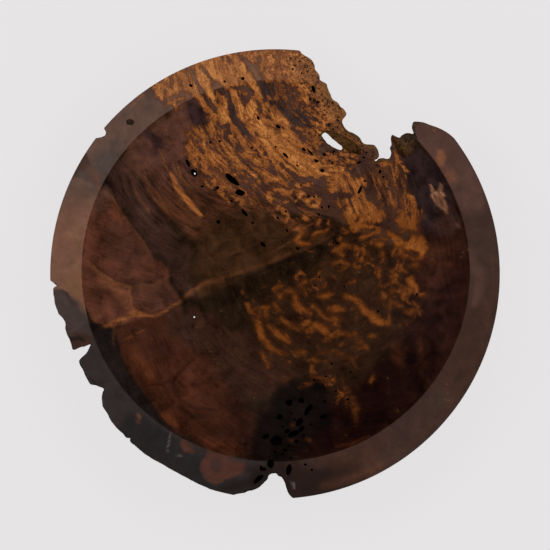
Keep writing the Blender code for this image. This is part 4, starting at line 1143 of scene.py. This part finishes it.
def carve_void(dish, form, sizes, name, outline, worn_from, wear, wear_depth):
    """Cuts one natural opening: a wall as tall as the dish, worn back at its top and rugged all the way."""
    hole = name == "through_hole"
    natural = smooth_line(outline + outline[:1] if hole else outline, sizes.edge_step / MM)
    if hole:
        natural.pop()
    closing = [] if hole else closing_arc(natural[0], natural[-1])
    loop = natural + closing
    depths = [share * wear_depth for share, _ in WEAR_ROWS]
    while depths[-1] < WALL_DEPTH:
        depths.append(depths[-1] + WALL_ROW_STEP)
    shares = [share for _, share in WEAR_ROWS] + [0.0] * (len(depths) - len(WEAR_ROWS))
    tool = trace(name, [(x * MM, y * MM, 0.0) for x, y in loop])
    bpy.ops.mesh.select_all(action="SELECT")
    bpy.ops.mesh.edge_face_add()
    for _ in range(len(depths) + 1):
        bpy.ops.mesh.extrude_region_move(TRANSFORM_OT_translate={"value": (0.0, 0.0, -MM)})
    bpy.ops.object.mode_set(mode="OBJECT")
    places = plan_of(tool)
    rows = np.rint(-places[:, 2]).astype(int)
    flat = np.array(loop)
    gaps = (places[:, 0][:, None] - flat[None, :, 0])**2 + (places[:, 1][:, None] - flat[None, :, 1])**2
    number = gaps.argmin(axis=1)
    for i, (row, along) in enumerate(zip(rows, number)):
        x, y = loop[along]
        share = shares[min(max(row - 1, 0), len(shares) - 1)]
        if row == 0:
            height = CUTTER_TOP
        elif row == len(depths) + 1:
            height = CUTTER_BOTTOM
        else:
            height = float(form.top_height(x, y)) + WEAR_START_RISE * share - depths[row - 1]
        if along < len(natural):
            away = Vector((x - worn_from[0], y - worn_from[1])).normalized()
            here = Vector((x, y, height))
            rough = noise.noise(here * RUGGED_SCALE)
            rough += noise.noise(here * RUGGED_FINE_SCALE) * RUGGED_FINE_SHARE
            push = wear * share + rough * sizes.ruggedness / MM
            x += away.x * push
            y += away.y * push
        places[i] = (x, y, height)
    place_all(tool, places)
    cut(dish, tool)


def cut(dish, tool):
    """Takes the tool's shape out of the dish and throws the tool away."""
    show_only(tool)
    bpy.ops.object.mode_set(mode="EDIT")
    bpy.ops.mesh.select_all(action="SELECT")
    bpy.ops.mesh.normals_make_consistent(inside=False)
    bpy.ops.object.mode_set(mode="OBJECT")
    show_only(dish)
    step = dish.modifiers.new("cut_" + tool.name, "BOOLEAN")
    step.operation = "DIFFERENCE"
    step.solver = "MANIFOLD"
    step.object = tool
    before = len(dish.data.vertices)
    bpy.ops.object.modifier_apply(modifier=step.name)
    if len(dish.data.vertices) == before or len(dish.data.vertices) < before / 2:
        raise RuntimeError("the cut " + tool.name + " did not go through")
    bpy.data.objects.remove(tool)


def carve_eggs(dish, form, name, eggs, fineness, roughness):
    """Cuts egg shaped hollows: plan x and y, half length, half width, direction in degrees, depth."""
    made = []
    for x, y, half_length, half_width, direction, depth in eggs:
        select_nothing()
        bpy.ops.mesh.primitive_ico_sphere_add(subdivisions=fineness, radius=1.0)
        egg = bpy.context.object
        places = plan_of(egg) * MM
        bumps = np.array([noise.noise(Vector(p) * PIT_BUMP_SCALE + Vector((x, y, depth))) for p in places])
        places *= (1.0 + roughness * bumps)[:, None]
        turn = math.radians(direction)
        across_x = places[:, 0] * half_length * math.cos(turn) - places[:, 1] * half_width * math.sin(turn)
        across_y = places[:, 0] * half_length * math.sin(turn) + places[:, 1] * half_width * math.cos(turn)
        height = form.top_height(x + across_x, y + across_y) - PIT_SINK * depth + places[:, 2] * depth
        place_all(egg, np.stack([x + across_x, y + across_y, height], axis=1))
        made.append(egg)
    select_nothing()
    for egg in made:
        egg.select_set(True)
    bpy.context.view_layer.objects.active = made[0]
    bpy.ops.object.join()
    tool = bpy.context.object
    tool.name = name
    cut(dish, tool)


def deep_pinholes():
    """The pinholes with their depth, as the pits have theirs."""
    return [hole + (PINHOLE_DEPTH,) for hole in PINHOLES]


def tear_ledge(dish, form):
    """Cuts the torn step beside the bite, where the rim broke away along the grain."""
    line = smooth_line(TORN_LEDGE, LEDGE_STEP)
    tool = trace("torn_ledge", [(x * MM, y * MM, CUTTER_TOP * MM) for x, y in line])
    bpy.ops.mesh.select_all(action="SELECT")
    bpy.ops.mesh.edge_face_add()
    bpy.ops.mesh.extrude_region_move(TRANSFORM_OT_translate={"value": (0.0, 0.0, -CUTTER_TOP * MM)})
    bpy.ops.object.mode_set(mode="OBJECT")
    places = plan_of(tool)
    away = np.hypot(places[:, 0], places[:, 1])
    inward = (away.max() - away) / (away.max() - away.min())
    floor = form.top_height(places[:, 0], places[:, 1]) - LEDGE_DROP - LEDGE_TILT * inward
    places[:, 2] = np.where(places[:, 2] > CUTTER_TOP / 2, CUTTER_TOP, floor)
    place_all(tool, places)
    cut(dish, tool)


def drill_pinholes(dish):
    """Cuts the pinholes that go right through the wall."""
    lower, upper = DRILLED_TAPER
    for i, (x, y, radius) in enumerate(DRILLED):
        select_nothing()
        bpy.ops.mesh.primitive_cone_add(
            vertices=DRILLED_SIDES, radius1=lower * radius * MM, radius2=upper * radius * MM,
            depth=(CUTTER_TOP - CUTTER_BOTTOM) * MM,
            location=(x * MM, y * MM, (CUTTER_TOP + CUTTER_BOTTOM) / 2 * MM))
        bpy.ops.object.transform_apply(location=True, rotation=True, scale=True)
        tool = bpy.context.object
        tool.name = "pinhole_" + str(i)
        cut(dish, tool)


def lattice_noise(x, y, size, seed):
    """Smooth noise between 0 and 1 over plan points, in blobs about one size across."""
    across, along = x / size, y / size
    left, low = np.floor(across).astype(np.int64), np.floor(along).astype(np.int64)
    part_x, part_y = across - left, along - low
    part_x = part_x * part_x * (3 - 2 * part_x)
    part_y = part_y * part_y * (3 - 2 * part_y)
    factor_x, factor_y, factor_seed, last_factor = LATTICE_FACTORS

    def corner(step_x, step_y):
        """The steady random number of one corner of each point's lattice square."""
        mixed = (left + step_x) * factor_x + (low + step_y) * factor_y + seed * factor_seed
        mixed = mixed & LATTICE_MASK
        mixed = ((mixed ^ (mixed >> 13)) * last_factor) & LATTICE_MASK
        return (mixed ^ (mixed >> 16)) / LATTICE_MASK

    lower = corner(0, 0) * (1 - part_x) + corner(1, 0) * part_x
    upper = corner(0, 1) * (1 - part_x) + corner(1, 1) * part_x
    return lower * (1 - part_y) + upper * part_y


def wavered(x, y, reach, size, seed):
    """Plan points pushed about by noise, so that a border drawn on them wavers."""
    fine = size / WAVER_FINENESS
    pushed = []
    for place, offset in ((x, 0), (y, WAVER_SECOND_SEED)):
        push = (lattice_noise(x, y, size, seed + offset) - 0.5) * 2 * reach
        push += (lattice_noise(x, y, fine, seed + offset + WAVER_FINE_SEED) - 0.5) * reach
        pushed.append(place + push)
    return pushed


def soft_waver(x, y, waver, softness, seed):
    """Plan points wavered by as much as a border of this softness asks for."""
    reach, soft_reach, size, soft_size = waver
    return wavered(x, y, reach + soft_reach * softness, size + soft_size * softness, seed)


def ease(low, high, value):
    """A soft step from 0 at low to 1 at high."""
    part = np.clip((value - low) / (high - low), 0.0, 1.0)
    return part * part * (3 - 2 * part)


def segment_distance(x, y, start, end):
    """Distance to a straight piece, and how far along it the nearest point lies."""
    run = (end[0] - start[0], end[1] - start[1])
    length_squared = max(run[0]**2 + run[1]**2, 1e-9)
    along = np.clip(((x - start[0]) * run[0] + (y - start[1]) * run[1]) / length_squared, 0.0, 1.0)
    return np.hypot(x - start[0] - along * run[0], y - start[1] - along * run[1]), along


def depth_inside(x, y, outline):
    """How far plan points lie inside an outline, negative outside it."""
    nearest = np.full(x.shape, FAR_AWAY)
    inside = np.zeros(x.shape, bool)
    for start, end in zip(outline, outline[1:] + outline[:1]):
        nearest = np.minimum(nearest, segment_distance(x, y, start, end)[0])
        if start[1] != end[1]:
            crossing = (end[0] - start[0]) * (y - start[1]) / (end[1] - start[1]) + start[0]
            inside ^= ((start[1] > y) != (end[1] > y)) & (x < crossing)
    return np.where(inside, nearest, -nearest)


def depth_in_strand(x, y, points, width):
    """How far plan points lie inside a strand that thins towards its ends, negative outside it."""
    lengths = [math.dist(a, b) for a, b in zip(points, points[1:])]
    whole = sum(lengths)
    deepest = np.full(x.shape, -FAR_AWAY)
    gone = 0.0
    for start, end, length in zip(points, points[1:], lengths):
        away, along = segment_distance(x, y, start, end)
        share = (gone + along * length) / whole
        half = width / 2 * (STRAND_END_SHARE + (1 - STRAND_END_SHARE) * np.sin(np.pi * share))
        deepest = np.maximum(deepest, half - away)
        gone += length
    return deepest


def near_strand(x, y, points, width):
    """Which plan points lie within reach of a strand."""
    spread = width / 2 + FIGURE_REACH
    near = np.ones(x.shape, bool)
    for place, line in ((x, [p[0] for p in points]), (y, [p[1] for p in points])):
        near &= (place > min(line) - spread) & (place < max(line) + spread)
    return near


def paint_grounds(x, y, first, grounds, strokes, tones, seed):
    """Colours for plan points: a first tone with the grounds and then the strokes laid over it."""
    colour = np.tile(np.array(getattr(tones, first)), (len(x), 1))
    for i, (tone, softness, outline) in enumerate(grounds):
        at_x, at_y = soft_waver(x, y, GROUND_WAVER, softness, seed + GROUND_SEED_STEP * i)
        cover = ease(-softness / 2, softness / 2, depth_inside(at_x, at_y, outline))[:, None]
        colour = colour * (1 - cover) + np.array(getattr(tones, tone)) * cover
    for i, (tone, strength, width, softness, points) in enumerate(strokes):
        at_x, at_y = soft_waver(x, y, STROKE_WAVER, softness, seed + STROKE_SEED + GROUND_SEED_STEP * i)
        depth = depth_in_strand(at_x, at_y, points, width)
        cover = strength * ease(-softness / 2, softness / 2, depth)[:, None]
        colour = colour * (1 - cover) + np.array(getattr(tones, tone)) * cover
    return colour


def paint_figure(x, y):
    """The figure for plan points: bright strands, their lightness, dark strands and mottled cover."""
    at_x, at_y = wavered(x, y, *STRAND_WAVER)
    cover = np.zeros(len(x))
    light = np.full(len(x), 0.5)
    for i, (level, softness, outline) in enumerate(AMBER_FIELDS):
        field_x, field_y = soft_waver(x, y, FIELD_WAVER, softness, FIELD_SEED + FIELD_SEED_STEP * i)
        there = ease(-softness / 2, softness / 2, depth_inside(field_x, field_y, outline))
        cover = cover * (1 - there) + level * there
    strands = np.full(len(x), -FIGURE_REACH)
    for points, width, brightness in AMBER_STRANDS:
        near = near_strand(at_x, at_y, points, width)
        depth = depth_in_strand(at_x[near], at_y[near], points, width)
        blend = ease(*LIGHT_BLEND, depth)
        light[near] = light[near] * (1 - blend) + brightness * blend
        strands[near] = np.maximum(strands[near], depth)
    darks = np.full(len(x), -FIGURE_REACH)
    for points, width, strength in DARK_STRANDS:
        near = near_strand(at_x, at_y, points, width)
        narrowed = width * (DARK_LEAST_WIDTH + (1 - DARK_LEAST_WIDTH) * strength)
        depth = depth_in_strand(at_x[near], at_y[near], points, narrowed)
        darks[near] = np.maximum(darks[near], depth)
    shown, cut_out = (
        0.5 + np.clip(depth, -FIGURE_REACH, FIGURE_REACH) / (2 * FIGURE_REACH) for depth in (strands, darks))
    return np.stack([shown, light, cut_out, cover], axis=1)


def paint_flow(x, y):
    """For plan points: how far across the grain and along it, how strongly it shows, how orange it is."""
    at_x, at_y = wavered(x, y, *GRAIN_WAVER)
    across, along, strength = np.zeros(len(x)), np.zeros(len(x)), np.zeros(len(x))
    chosen = np.zeros(len(x), bool)
    for outline, (centre_x, centre_y), streakiness in GRAIN_REGIONS:
        depth = depth_inside(at_x, at_y, outline) if outline else np.full(len(x), GRAIN_FADE)
        here = ~chosen & (depth > 0)
        part_x, part_y = x[here] - centre_x, y[here] - centre_y
        across[here] = np.hypot(part_x, part_y)
        along[here] = np.arctan2(part_y, part_x) * (GRAIN_TURN + np.hypot(centre_x, centre_y) / 2)
        strength[here] = streakiness * ease(0.0, GRAIN_FADE, depth[here])
        chosen |= here
    wander = sum((lattice_noise(x, y, size, seed) - 0.5) * reach for size, reach, seed in GRAIN_WANDER)
    orange = ease(-ORANGE_FADE / 2, ORANGE_FADE / 2, depth_inside(x, y, ORANGE_ZONE))
    return np.stack([(across + wander) * MM, along * MM, strength, orange], axis=1)


def lying_below(places, form):
    """For each vertex: from 0 on the top to 1 on the underside."""
    x, y, z = places.T
    under_top = form.top_height(x, y) - z
    wall = under_top + np.maximum(z - form.under_height(np.hypot(x, y)), 0.0)
    return ease(*BELOW_SHARES, under_top / np.maximum(wall, MM))


def paint_edges(places, form):
    """For each vertex: its depth under the skin, and how much it is in a pit, weathered and lying below."""
    x, y, z = places.T
    away = np.hypot(x, y)
    under_skin = np.minimum(form.top_height(x, y) - z, z - form.under_height(away))
    under_skin = np.minimum(under_skin, OUTER_RADIUS - away + SIDE_SKIN)
    under_skin = np.where(away > OUTER_RADIUS - RIM_LOWER_CORNER[0] - CORNER_SKIN, 0.0, under_skin)
    in_pit = np.zeros(len(x))
    for pit_x, pit_y, half_length, half_width, direction, depth in PITS + deep_pinholes():
        turn = math.radians(direction)
        along = (x - pit_x) * math.cos(turn) + (y - pit_y) * math.sin(turn)
        across = (y - pit_y) * math.cos(turn) - (x - pit_x) * math.sin(turn)
        there = ease(*PIT_FADE, np.hypot(along / half_length, across / half_width))
        in_pit = np.maximum(in_pit, there * ease(*PIT_DEPTHS, depth))
    weathered = np.zeros(len(x))
    for points, width, strength in WEATHERED:
        depth = depth_in_strand(x, y, points, width)
        weathered = np.maximum(weathered, strength * ease(-WEATHER_FADE, WEATHER_FADE, depth))
    under_share = np.clip(under_skin / EDGE_REACH, 0, 1)
    return np.stack([under_share, in_pit, weathered, lying_below(places, form)], axis=1)


def store_paint(dish, key, paint):
    """Keeps a colour for each vertex under a name that the wood's material reads."""
    layer = dish.data.color_attributes.new(name=key, type="FLOAT_COLOR", domain="POINT")
    layer.data.foreach_set("color", paint.astype(np.float32).ravel())


def paint_dish(dish, form, tones):
    """Lays the grounds, the figure and the wear on the finished mesh."""
    places = plan_of(dish)
    drawn_in = 1 - lying_below(places, form) * (1 - form.mean_edge / OUTER_RADIUS)
    x, y = places[:, 0] * drawn_in, places[:, 1] * drawn_in
    opaque = np.ones((len(x), 1))
    for key, first, grounds, strokes, seed in (
            ("hollow_tone", "olive_dark", HOLLOW_GROUNDS, HOLLOW_STROKES, 100),
            ("rim_tone", "rim_right", RIM_GROUNDS, RIM_STROKES, 300),
            ("raw_tone", "worn_amber", RAW_GROUNDS, [], 200)):
        paint = paint_grounds(x, y, first, grounds, strokes, tones, seed)
        store_paint(dish, key, np.hstack([paint, opaque]))
    store_paint(dish, "flow", paint_flow(x, y))
    store_paint(dish, "figure", paint_figure(x, y))
    store_paint(dish, "edge", paint_edges(places, form))


class Signal:
    """A value in a material, which arithmetic on it turns into Math nodes."""

    def __init__(self, shader, socket):
        self.shader = shader
        self.socket = socket

    def math(self, operation, *values):
        """A Math node on the values."""
        return self.shader.node("ShaderNodeMath", {"operation": operation}, dict(enumerate(values)))

    def __add__(self, other):
        return self.math("ADD", self, other)

    def __radd__(self, other):
        return self.math("ADD", other, self)

    def __sub__(self, other):
        return self.math("SUBTRACT", self, other)

    def __rsub__(self, other):
        return self.math("SUBTRACT", other, self)

    def __mul__(self, other):
        return self.math("MULTIPLY", self, other)

    def __rmul__(self, other):
        return self.math("MULTIPLY", other, self)

    def __truediv__(self, other):
        return self.math("DIVIDE", self, other)

    def __pow__(self, other):
        return self.math("POWER", self, other)

    def most(self, other):
        """The larger of the two."""
        return self.math("MAXIMUM", self, other)

    def least(self, other):
        """The smaller of the two."""
        return self.math("MINIMUM", self, other)

    def size(self):
        """The value without its sign."""
        return self.math("ABSOLUTE", self)

    def ease(self, low, high):
        """A soft step from 0 at low to 1 at high."""
        return self.shader.node("ShaderNodeMapRange", {"interpolation_type": "SMOOTHSTEP"},
                                {"Value": self, "From Min": low, "From Max": high})


class Shader:
    """A new material, and the one way in which nodes are added to it."""

    def __init__(self, name):
        self.material = bpy.data.materials.new(name)
        self.material.use_nodes = True
        self.tree = self.material.node_tree
        self.tree.nodes.clear()

    def node(self, kind, settings=None, inputs=None, output=0):
        """A node of this kind with its settings, and with the values or links of its sockets."""
        made = self.tree.nodes.new(kind)
        for key, value in (settings or {}).items():
            setattr(made, key, value)
        for key, value in (inputs or {}).items():
            socket = made.inputs[key]
            if isinstance(value, Signal):
                self.tree.links.new(value.socket, socket)
            else:
                socket.default_value = value
        return Signal(self, made.outputs[output])

    def mix(self, share, first, second, blend="MIX"):
        """One colour or the other, by the share of the second."""
        made = self.tree.nodes.new("ShaderNodeMix")
        made.data_type = "RGBA"
        made.blend_type = blend
        made.clamp_factor = True
        for socket, value in zip((made.inputs[0], made.inputs[6], made.inputs[7]), (share, first, second)):
            if isinstance(value, Signal):
                self.tree.links.new(value.socket, socket)
            elif socket.type == "RGBA":
                socket.default_value = tuple(value) + (1.0,)
            else:
                socket.default_value = value
        return Signal(self, made.outputs[2])

    def vector(self, x, y, z):
        """Three values as one vector."""
        return self.node("ShaderNodeCombineXYZ", {}, {"X": x, "Y": y, "Z": z})

    def channels(self, colour):
        """The three channels of a colour, each as a value."""
        return [self.node("ShaderNodeSeparateColor", {}, {0: colour}, output=i) for i in range(3)]

    def noise(self, place, size, detail, roughness, distortion):
        """Noise between about -0.5 and 0.5, in blobs of about half the given size."""
        return self.node("ShaderNodeTexNoise", {"noise_dimensions": "3D"}, {
            "Vector": place, "Scale": 1.0 / size, "Detail": detail, "Roughness": roughness,
            "Distortion": distortion}) - 0.5

    def finish(self, surface):
        """Links the surface to the material's output, and gives the material."""
        end = self.tree.nodes.new("ShaderNodeOutputMaterial")
        self.tree.links.new(surface.socket, end.inputs["Surface"])
        return self.material


def walnut_burl(form, tones):
    """Oiled walnut burl: grounds and amber figure, grain and pepper, dull rim with painted sheen, dark pits
    and worn edges.
    """
    wood = Shader("walnut_burl")
    place = wood.node("ShaderNodeVectorMath", {"operation": "SCALE"}, {
        0: wood.node("ShaderNodeTexCoord", output=OBJECT_PLACE), "Scale": 1 / MM})
    x, y = (wood.node("ShaderNodeSeparateXYZ", {}, {0: place}, output=i) for i in (0, 1))
    flat = wood.vector(x, y, 0.0)

    inside = ((x - form.shift[0]) / form.edge_x) ** 2.0 + ((y - form.shift[1]) / form.edge_y) ** 2.0
    below = painted(wood, "edge", PAINT_LAST)
    in_hollow = (1.0 - inside.ease(1.0 - EDGE_LINE, 1.0 + EDGE_LINE)).most(below)
    # The hollow's colours hold painted shade towards the lower right, and the rim's colours hold a painted
    # sheen.
    skin = wood.mix(in_hollow, painted(wood, "rim_tone"), painted(wood, "hollow_tone"))

    # Grain: long streaks at three widths along the flow, blotches, curled creases and a fine speckle. The
    # noises come in the order of their tables.
    across, along, strength = wood.channels(painted(wood, "flow"))
    across = across / MM
    along = along / MM
    streaky = strength * (0.4 + 0.6 * in_hollow)
    bands, streaks, hairs, worms, crumbs, veins, holes, cracks = (
        wood.noise(wood.vector(across, along * stretch, level), *recipe)
        for stretch, level, *recipe in GRAIN_NOISES.values())
    blotches, creases, smudges, coils, nibble, speckle, pepper = (
        wood.noise(flat, *recipe) for recipe in FLAT_NOISES.values())
    crease = 1.0 - creases.size().ease(0.0, 0.03)
    shade = streaky * (1.8 * bands + 1.8 * streaks + 1.7 * hairs)
    shade = shade + (1.3 - streaky) * (2.1 * smudges - 0.07 * crease) + 1.5 * blotches + 0.9 * speckle
    shade = (1.0 + shade * (0.42 + 0.58 * in_hollow)).most(0.35)
    skin = wood.mix(1.0, skin, wood.vector(shade, shade, shade), "MULTIPLY")

    # The figure: strands and mottled fields of amber, cut by dark strands, from deep brown to bright amber.
    strand, light, dark = wood.channels(painted(wood, "figure"))
    cover = painted(wood, "figure", PAINT_LAST)
    orange = painted(wood, "flow", PAINT_LAST)
    grain = 3.4 * worms + 2.9 * crumbs + 2.0 * streaks * (1.0 - orange) + 0.9 * speckle
    spots = (coils + 0.25 * crumbs + 0.8 * cover - 0.16).ease(-0.08, 0.18) * cover.ease(0.0, 0.06)
    heat = cover + grain * (0.24 * cover.ease(0.0, 0.08) + cover)
    heat = heat * (1.0 - 0.5 * veins.size().ease(0.016, 0.004))
    heat = heat + orange * (spots * (0.34 + 0.8 * cover + 0.8 * crumbs) - 0.85 * heat)
    halo = orange * (strand + 0.5 * nibble).ease(0.1, 0.5) * light * 0.3
    heat = heat.most(halo)
    thread = (strand + (0.45 - 0.15 * orange) * nibble).ease(0.38 - 0.04 * orange, 0.62 + 0.14 * orange)
    thread_grain = (0.42 + 0.08 * orange) * (2.0 * light).least(1.0) * grain
    heat = heat + thread * (light * (1.0 + 0.1 * orange) + thread_grain - heat)
    heat = heat * (1.0 - 0.9 * (dark + 0.6 * nibble).ease(0.40, 0.60))
    heat = heat * (1.0 - (0.85 - 0.55 * orange) * pepper.ease(0.08, 0.16))
    deep = wood.mix(orange, tuple(tones.amber_deep), tuple(tones.orange_deep))
    warm = wood.mix(orange, tuple(tones.amber_warm), tuple(tones.orange_warm))
    bright = wood.mix(orange, tuple(tones.amber_bright), tuple(tones.orange_bright))
    skin = wood.mix(heat.ease(0.0, 0.25), skin, deep)
    skin = wood.mix(heat.ease(0.14, 0.52), skin, warm)
    skin = wood.mix(heat.ease(0.45, 1.25), skin, bright)
    # Painted sheen on the rim: a grey and a pale veil over its colours stand in for the light's reflection on
    # the flat rim.
    skin = wood.mix((1.0 - in_hollow) * RIM_SHEEN_GREY, skin, tuple(tones.rim_grey))
    skin = wood.mix((1.0 - in_hollow) * heat.ease(0.1, 0.5) * RIM_SHEEN_VEIL, skin, tuple(tones.rim_veil))

    # The weathered skin beside the bite, crumbled and full of small dark holes.
    under, pit, worn = wood.channels(painted(wood, "edge"))
    crust = wood.noise(place, *CRUST_NOISE) + 0.5
    weather = worn + 1.6 * (smudges + nibble)
    raw_tone = painted(wood, "raw_tone")
    crumbled = wood.mix((crust * 2.4 - 0.6).ease(0.0, 1.0), tuple(tones.worn_brown), raw_tone)
    skin = wood.mix(weather.ease(0.35, 0.75) * 0.5, skin, crumbled)
    cracked = worn.ease(0.1, 0.5) * cracks.size().ease(0.05, 0.01)
    skin = wood.mix(cracked * 0.55, skin, tuple(tones.figure_black))
    skin = wood.mix(worn.ease(0.05, 0.3) * holes.ease(0.06, 0.12), skin, tuple(tones.pit))

    # Under the skin: raw worn wood at the voids, bark black in the pits.
    raw = wood.mix((crust * 2.0 + streaks * 1.6 - 0.35).ease(0.0, 1.0), tuple(tones.pit), raw_tone)
    raw = wood.mix(under.ease(0.4, 1.0) * 0.5, raw, tuple(tones.pit))
    skin = wood.mix(under.ease(0.01, 0.06), skin, raw)
    skin = wood.mix(pit * (under + 0.2 * nibble).ease(0.0, 0.08), skin, tuple(tones.pit))
    skin = wood.mix(1.0, skin, (SHEEN_LIFT, SHEEN_LIFT, SHEEN_LIFT), "SUBTRACT")

    # The finish: satin in the hollow, duller on the rim, dry and crumbly where the wood is raw.
    bare = under.ease(0.02, 0.09)
    rough = SKIN_ROUGHNESS + 0.16 * (1.0 - in_hollow) + 0.3 * speckle
    rough = rough + (RAW_ROUGHNESS - rough) * bare.most(weather.ease(0.35, 0.75))
    relief = wood.node("ShaderNodeBump", {}, {
        "Strength": 0.25, "Distance": 0.3 * MM, "Height": hairs + speckle})
    crumbly = wood.node("ShaderNodeBump", {}, {
        "Strength": 0.9, "Distance": 0.9 * MM, "Normal": relief,
        "Height": crust * bare.most(weather.ease(0.3, 0.7)) - holes.ease(0.08, 0.16) * worn})
    surface = wood.node("ShaderNodeBsdfPrincipled", {}, {
        "Base Color": skin, "Roughness": rough, "Normal": crumbly, "Specular IOR Level": SKIN_GLOSS})
    return wood.finish(surface)


def painted(wood, key, output=0):
    """The colour laid on each vertex under this name, or, by its output, the value laid beside it."""
    return wood.node("ShaderNodeAttribute", {"attribute_name": key}, output=output)


def pale_floor(tone):
    """A pale floor that glows a little, so that it stays even in the dish's shade."""
    paper = Shader("pale_floor")
    lit = paper.node("ShaderNodeBsdfDiffuse", {}, {"Color": tuple(tone) + (1.0,)})
    glow = paper.node("ShaderNodeEmission", {}, {"Color": tuple(tone) + (1.0,), "Strength": 1.0})
    return paper.finish(paper.node("ShaderNodeMixShader", {}, {0: FLOOR_GLOW, 1: lit, 2: glow}))


class MESH_OT_burl_dish(bpy.types.Operator):
    """Turn the walnut burl dish, open its voids and pits, and give it its figure"""

    bl_idname = "mesh.burl_dish"
    bl_label = "Walnut Burl Dish"

    def execute(self, context):
        """Makes the dish, puts it on the root body and hides the part that it stands for"""
        sizes = context.scene.burl_dish_sizes
        form = Form(sizes)
        dish = turn_on_lathe(form)
        for name, (outline, worn_from, wear, wear_depth) in VOIDS.items():
            carve_void(dish, form, sizes, name, outline, worn_from, wear, wear_depth)
        tear_ledge(dish, form)
        carve_eggs(dish, form, "groove", [GROOVE], 4, 0.15)
        carve_eggs(dish, form, "pits", PITS, 3, 0.2)
        carve_eggs(dish, form, "pinholes", deep_pinholes(), 2, 0.1)
        drill_pinholes(dish)
        triangles = sum(len(face.vertices) - 2 for face in dish.data.polygons)
        if triangles > MOST_TRIANGLES:
            raise RuntimeError("the dish has too many triangles: " + str(triangles))
        paint_dish(dish, form, context.scene.burl_tones)
        dish.data.materials.clear()
        dish.data.materials.append(walnut_burl(form, context.scene.burl_tones))
        show_only(dish)
        bpy.ops.object.shade_smooth_by_angle(angle=SMOOTH_ANGLE)
        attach(dish, "root")
        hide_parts("burl_dish")
        return {"FINISHED"}


class SCENE_OT_burl_stage(bpy.types.Operator):
    """Set the floor, the soft lights and the camera straight above the dish"""

    bl_idname = "scene.burl_stage"
    bl_label = "Stage"

    def execute(self, context):
        """Makes the floor, the lights and the camera"""
        stage = context.scene.burl_stage
        select_nothing()
        bpy.ops.mesh.primitive_plane_add(size=FLOOR_SIZE, location=(0, 0, 0))
        floor = context.object
        floor.name = "floor"
        floor.data.materials.append(pale_floor(stage.floor_tone))
        for name, place, size, power in SOFT_LIGHTS:
            bpy.ops.object.light_add(type="AREA", location=place)
            light = context.object
            light.name = name
            light.data.name = name
            light.data.shape = "DISK"
            light.data.size = size
            light.data.energy = power * stage.light_strength
            aim = Vector((0, 0, RIM_HEIGHT * MM)) - light.location
            light.rotation_euler = aim.to_track_quat("-Z", "Y").to_euler()
            light.visible_camera = False
        world = bpy.data.worlds.new("studio")
        world.use_nodes = True
        world.node_tree.nodes["Background"].inputs["Color"].default_value = (1.0, 1.0, 1.0, 1.0)
        world.node_tree.nodes["Background"].inputs["Strength"].default_value = WORLD_STRENGTH
        context.scene.world = world
        context.scene.view_settings.view_transform = "Standard"
        height = RIM_HEIGHT * MM + stage.camera_height
        bpy.ops.object.camera_add(location=(*stage.picture_shift, height), rotation=(0, 0, 0))
        camera = context.object
        camera.name = "camera"
        camera.data.sensor_width = SENSOR_WIDTH
        camera.data.lens = SENSOR_WIDTH * stage.camera_height / stage.picture_width
        camera.data.clip_end = 2 * FLOOR_SIZE
        context.scene.camera = camera
        return {"FINISHED"}


class VIEW3D_PT_burl_dish(bpy.types.Panel):
    """Lists what the dish's makers can be told, and their buttons"""

    bl_idname = "VIEW3D_PT_burl_dish"
    bl_label = "Walnut Burl Dish"
    bl_space_type = "VIEW_3D"
    bl_region_type = "UI"
    bl_category = "Burl Dish"

    def draw(self, context):
        """Draws the settings and the buttons"""
        for settings in (context.scene.burl_dish_sizes, context.scene.burl_tones, context.scene.burl_stage):
            box = self.layout.box()
            for key in settings.bl_rna.properties.keys():
                if key not in ("rna_type", "name"):
                    box.prop(settings, key)
        self.layout.operator(MESH_OT_burl_dish.bl_idname)
        self.layout.operator(SCENE_OT_burl_stage.bl_idname)


CLASSES = (DishSizes, StageSizes, BurlTones, MESH_OT_burl_dish, SCENE_OT_burl_stage, VIEW3D_PT_burl_dish)


def register():
    """Makes the classes and their settings known to Blender."""
    for made in CLASSES:
        bpy.utils.register_class(made)
    bpy.types.Scene.burl_dish_sizes = bpy.props.PointerProperty(type=DishSizes)
    bpy.types.Scene.burl_tones = bpy.props.PointerProperty(type=BurlTones)
    bpy.types.Scene.burl_stage = bpy.props.PointerProperty(type=StageSizes)


def unregister():
    """Takes the settings and the classes away again."""
    del bpy.types.Scene.burl_stage
    del bpy.types.Scene.burl_tones
    del bpy.types.Scene.burl_dish_sizes
    for made in reversed(CLASSES):
        bpy.utils.unregister_class(made)


def main():
    """Makes the dish and its stage."""
    register()
    bpy.ops.mesh.burl_dish()
    bpy.ops.scene.burl_stage()


if __name__ == "__main__":
    main()
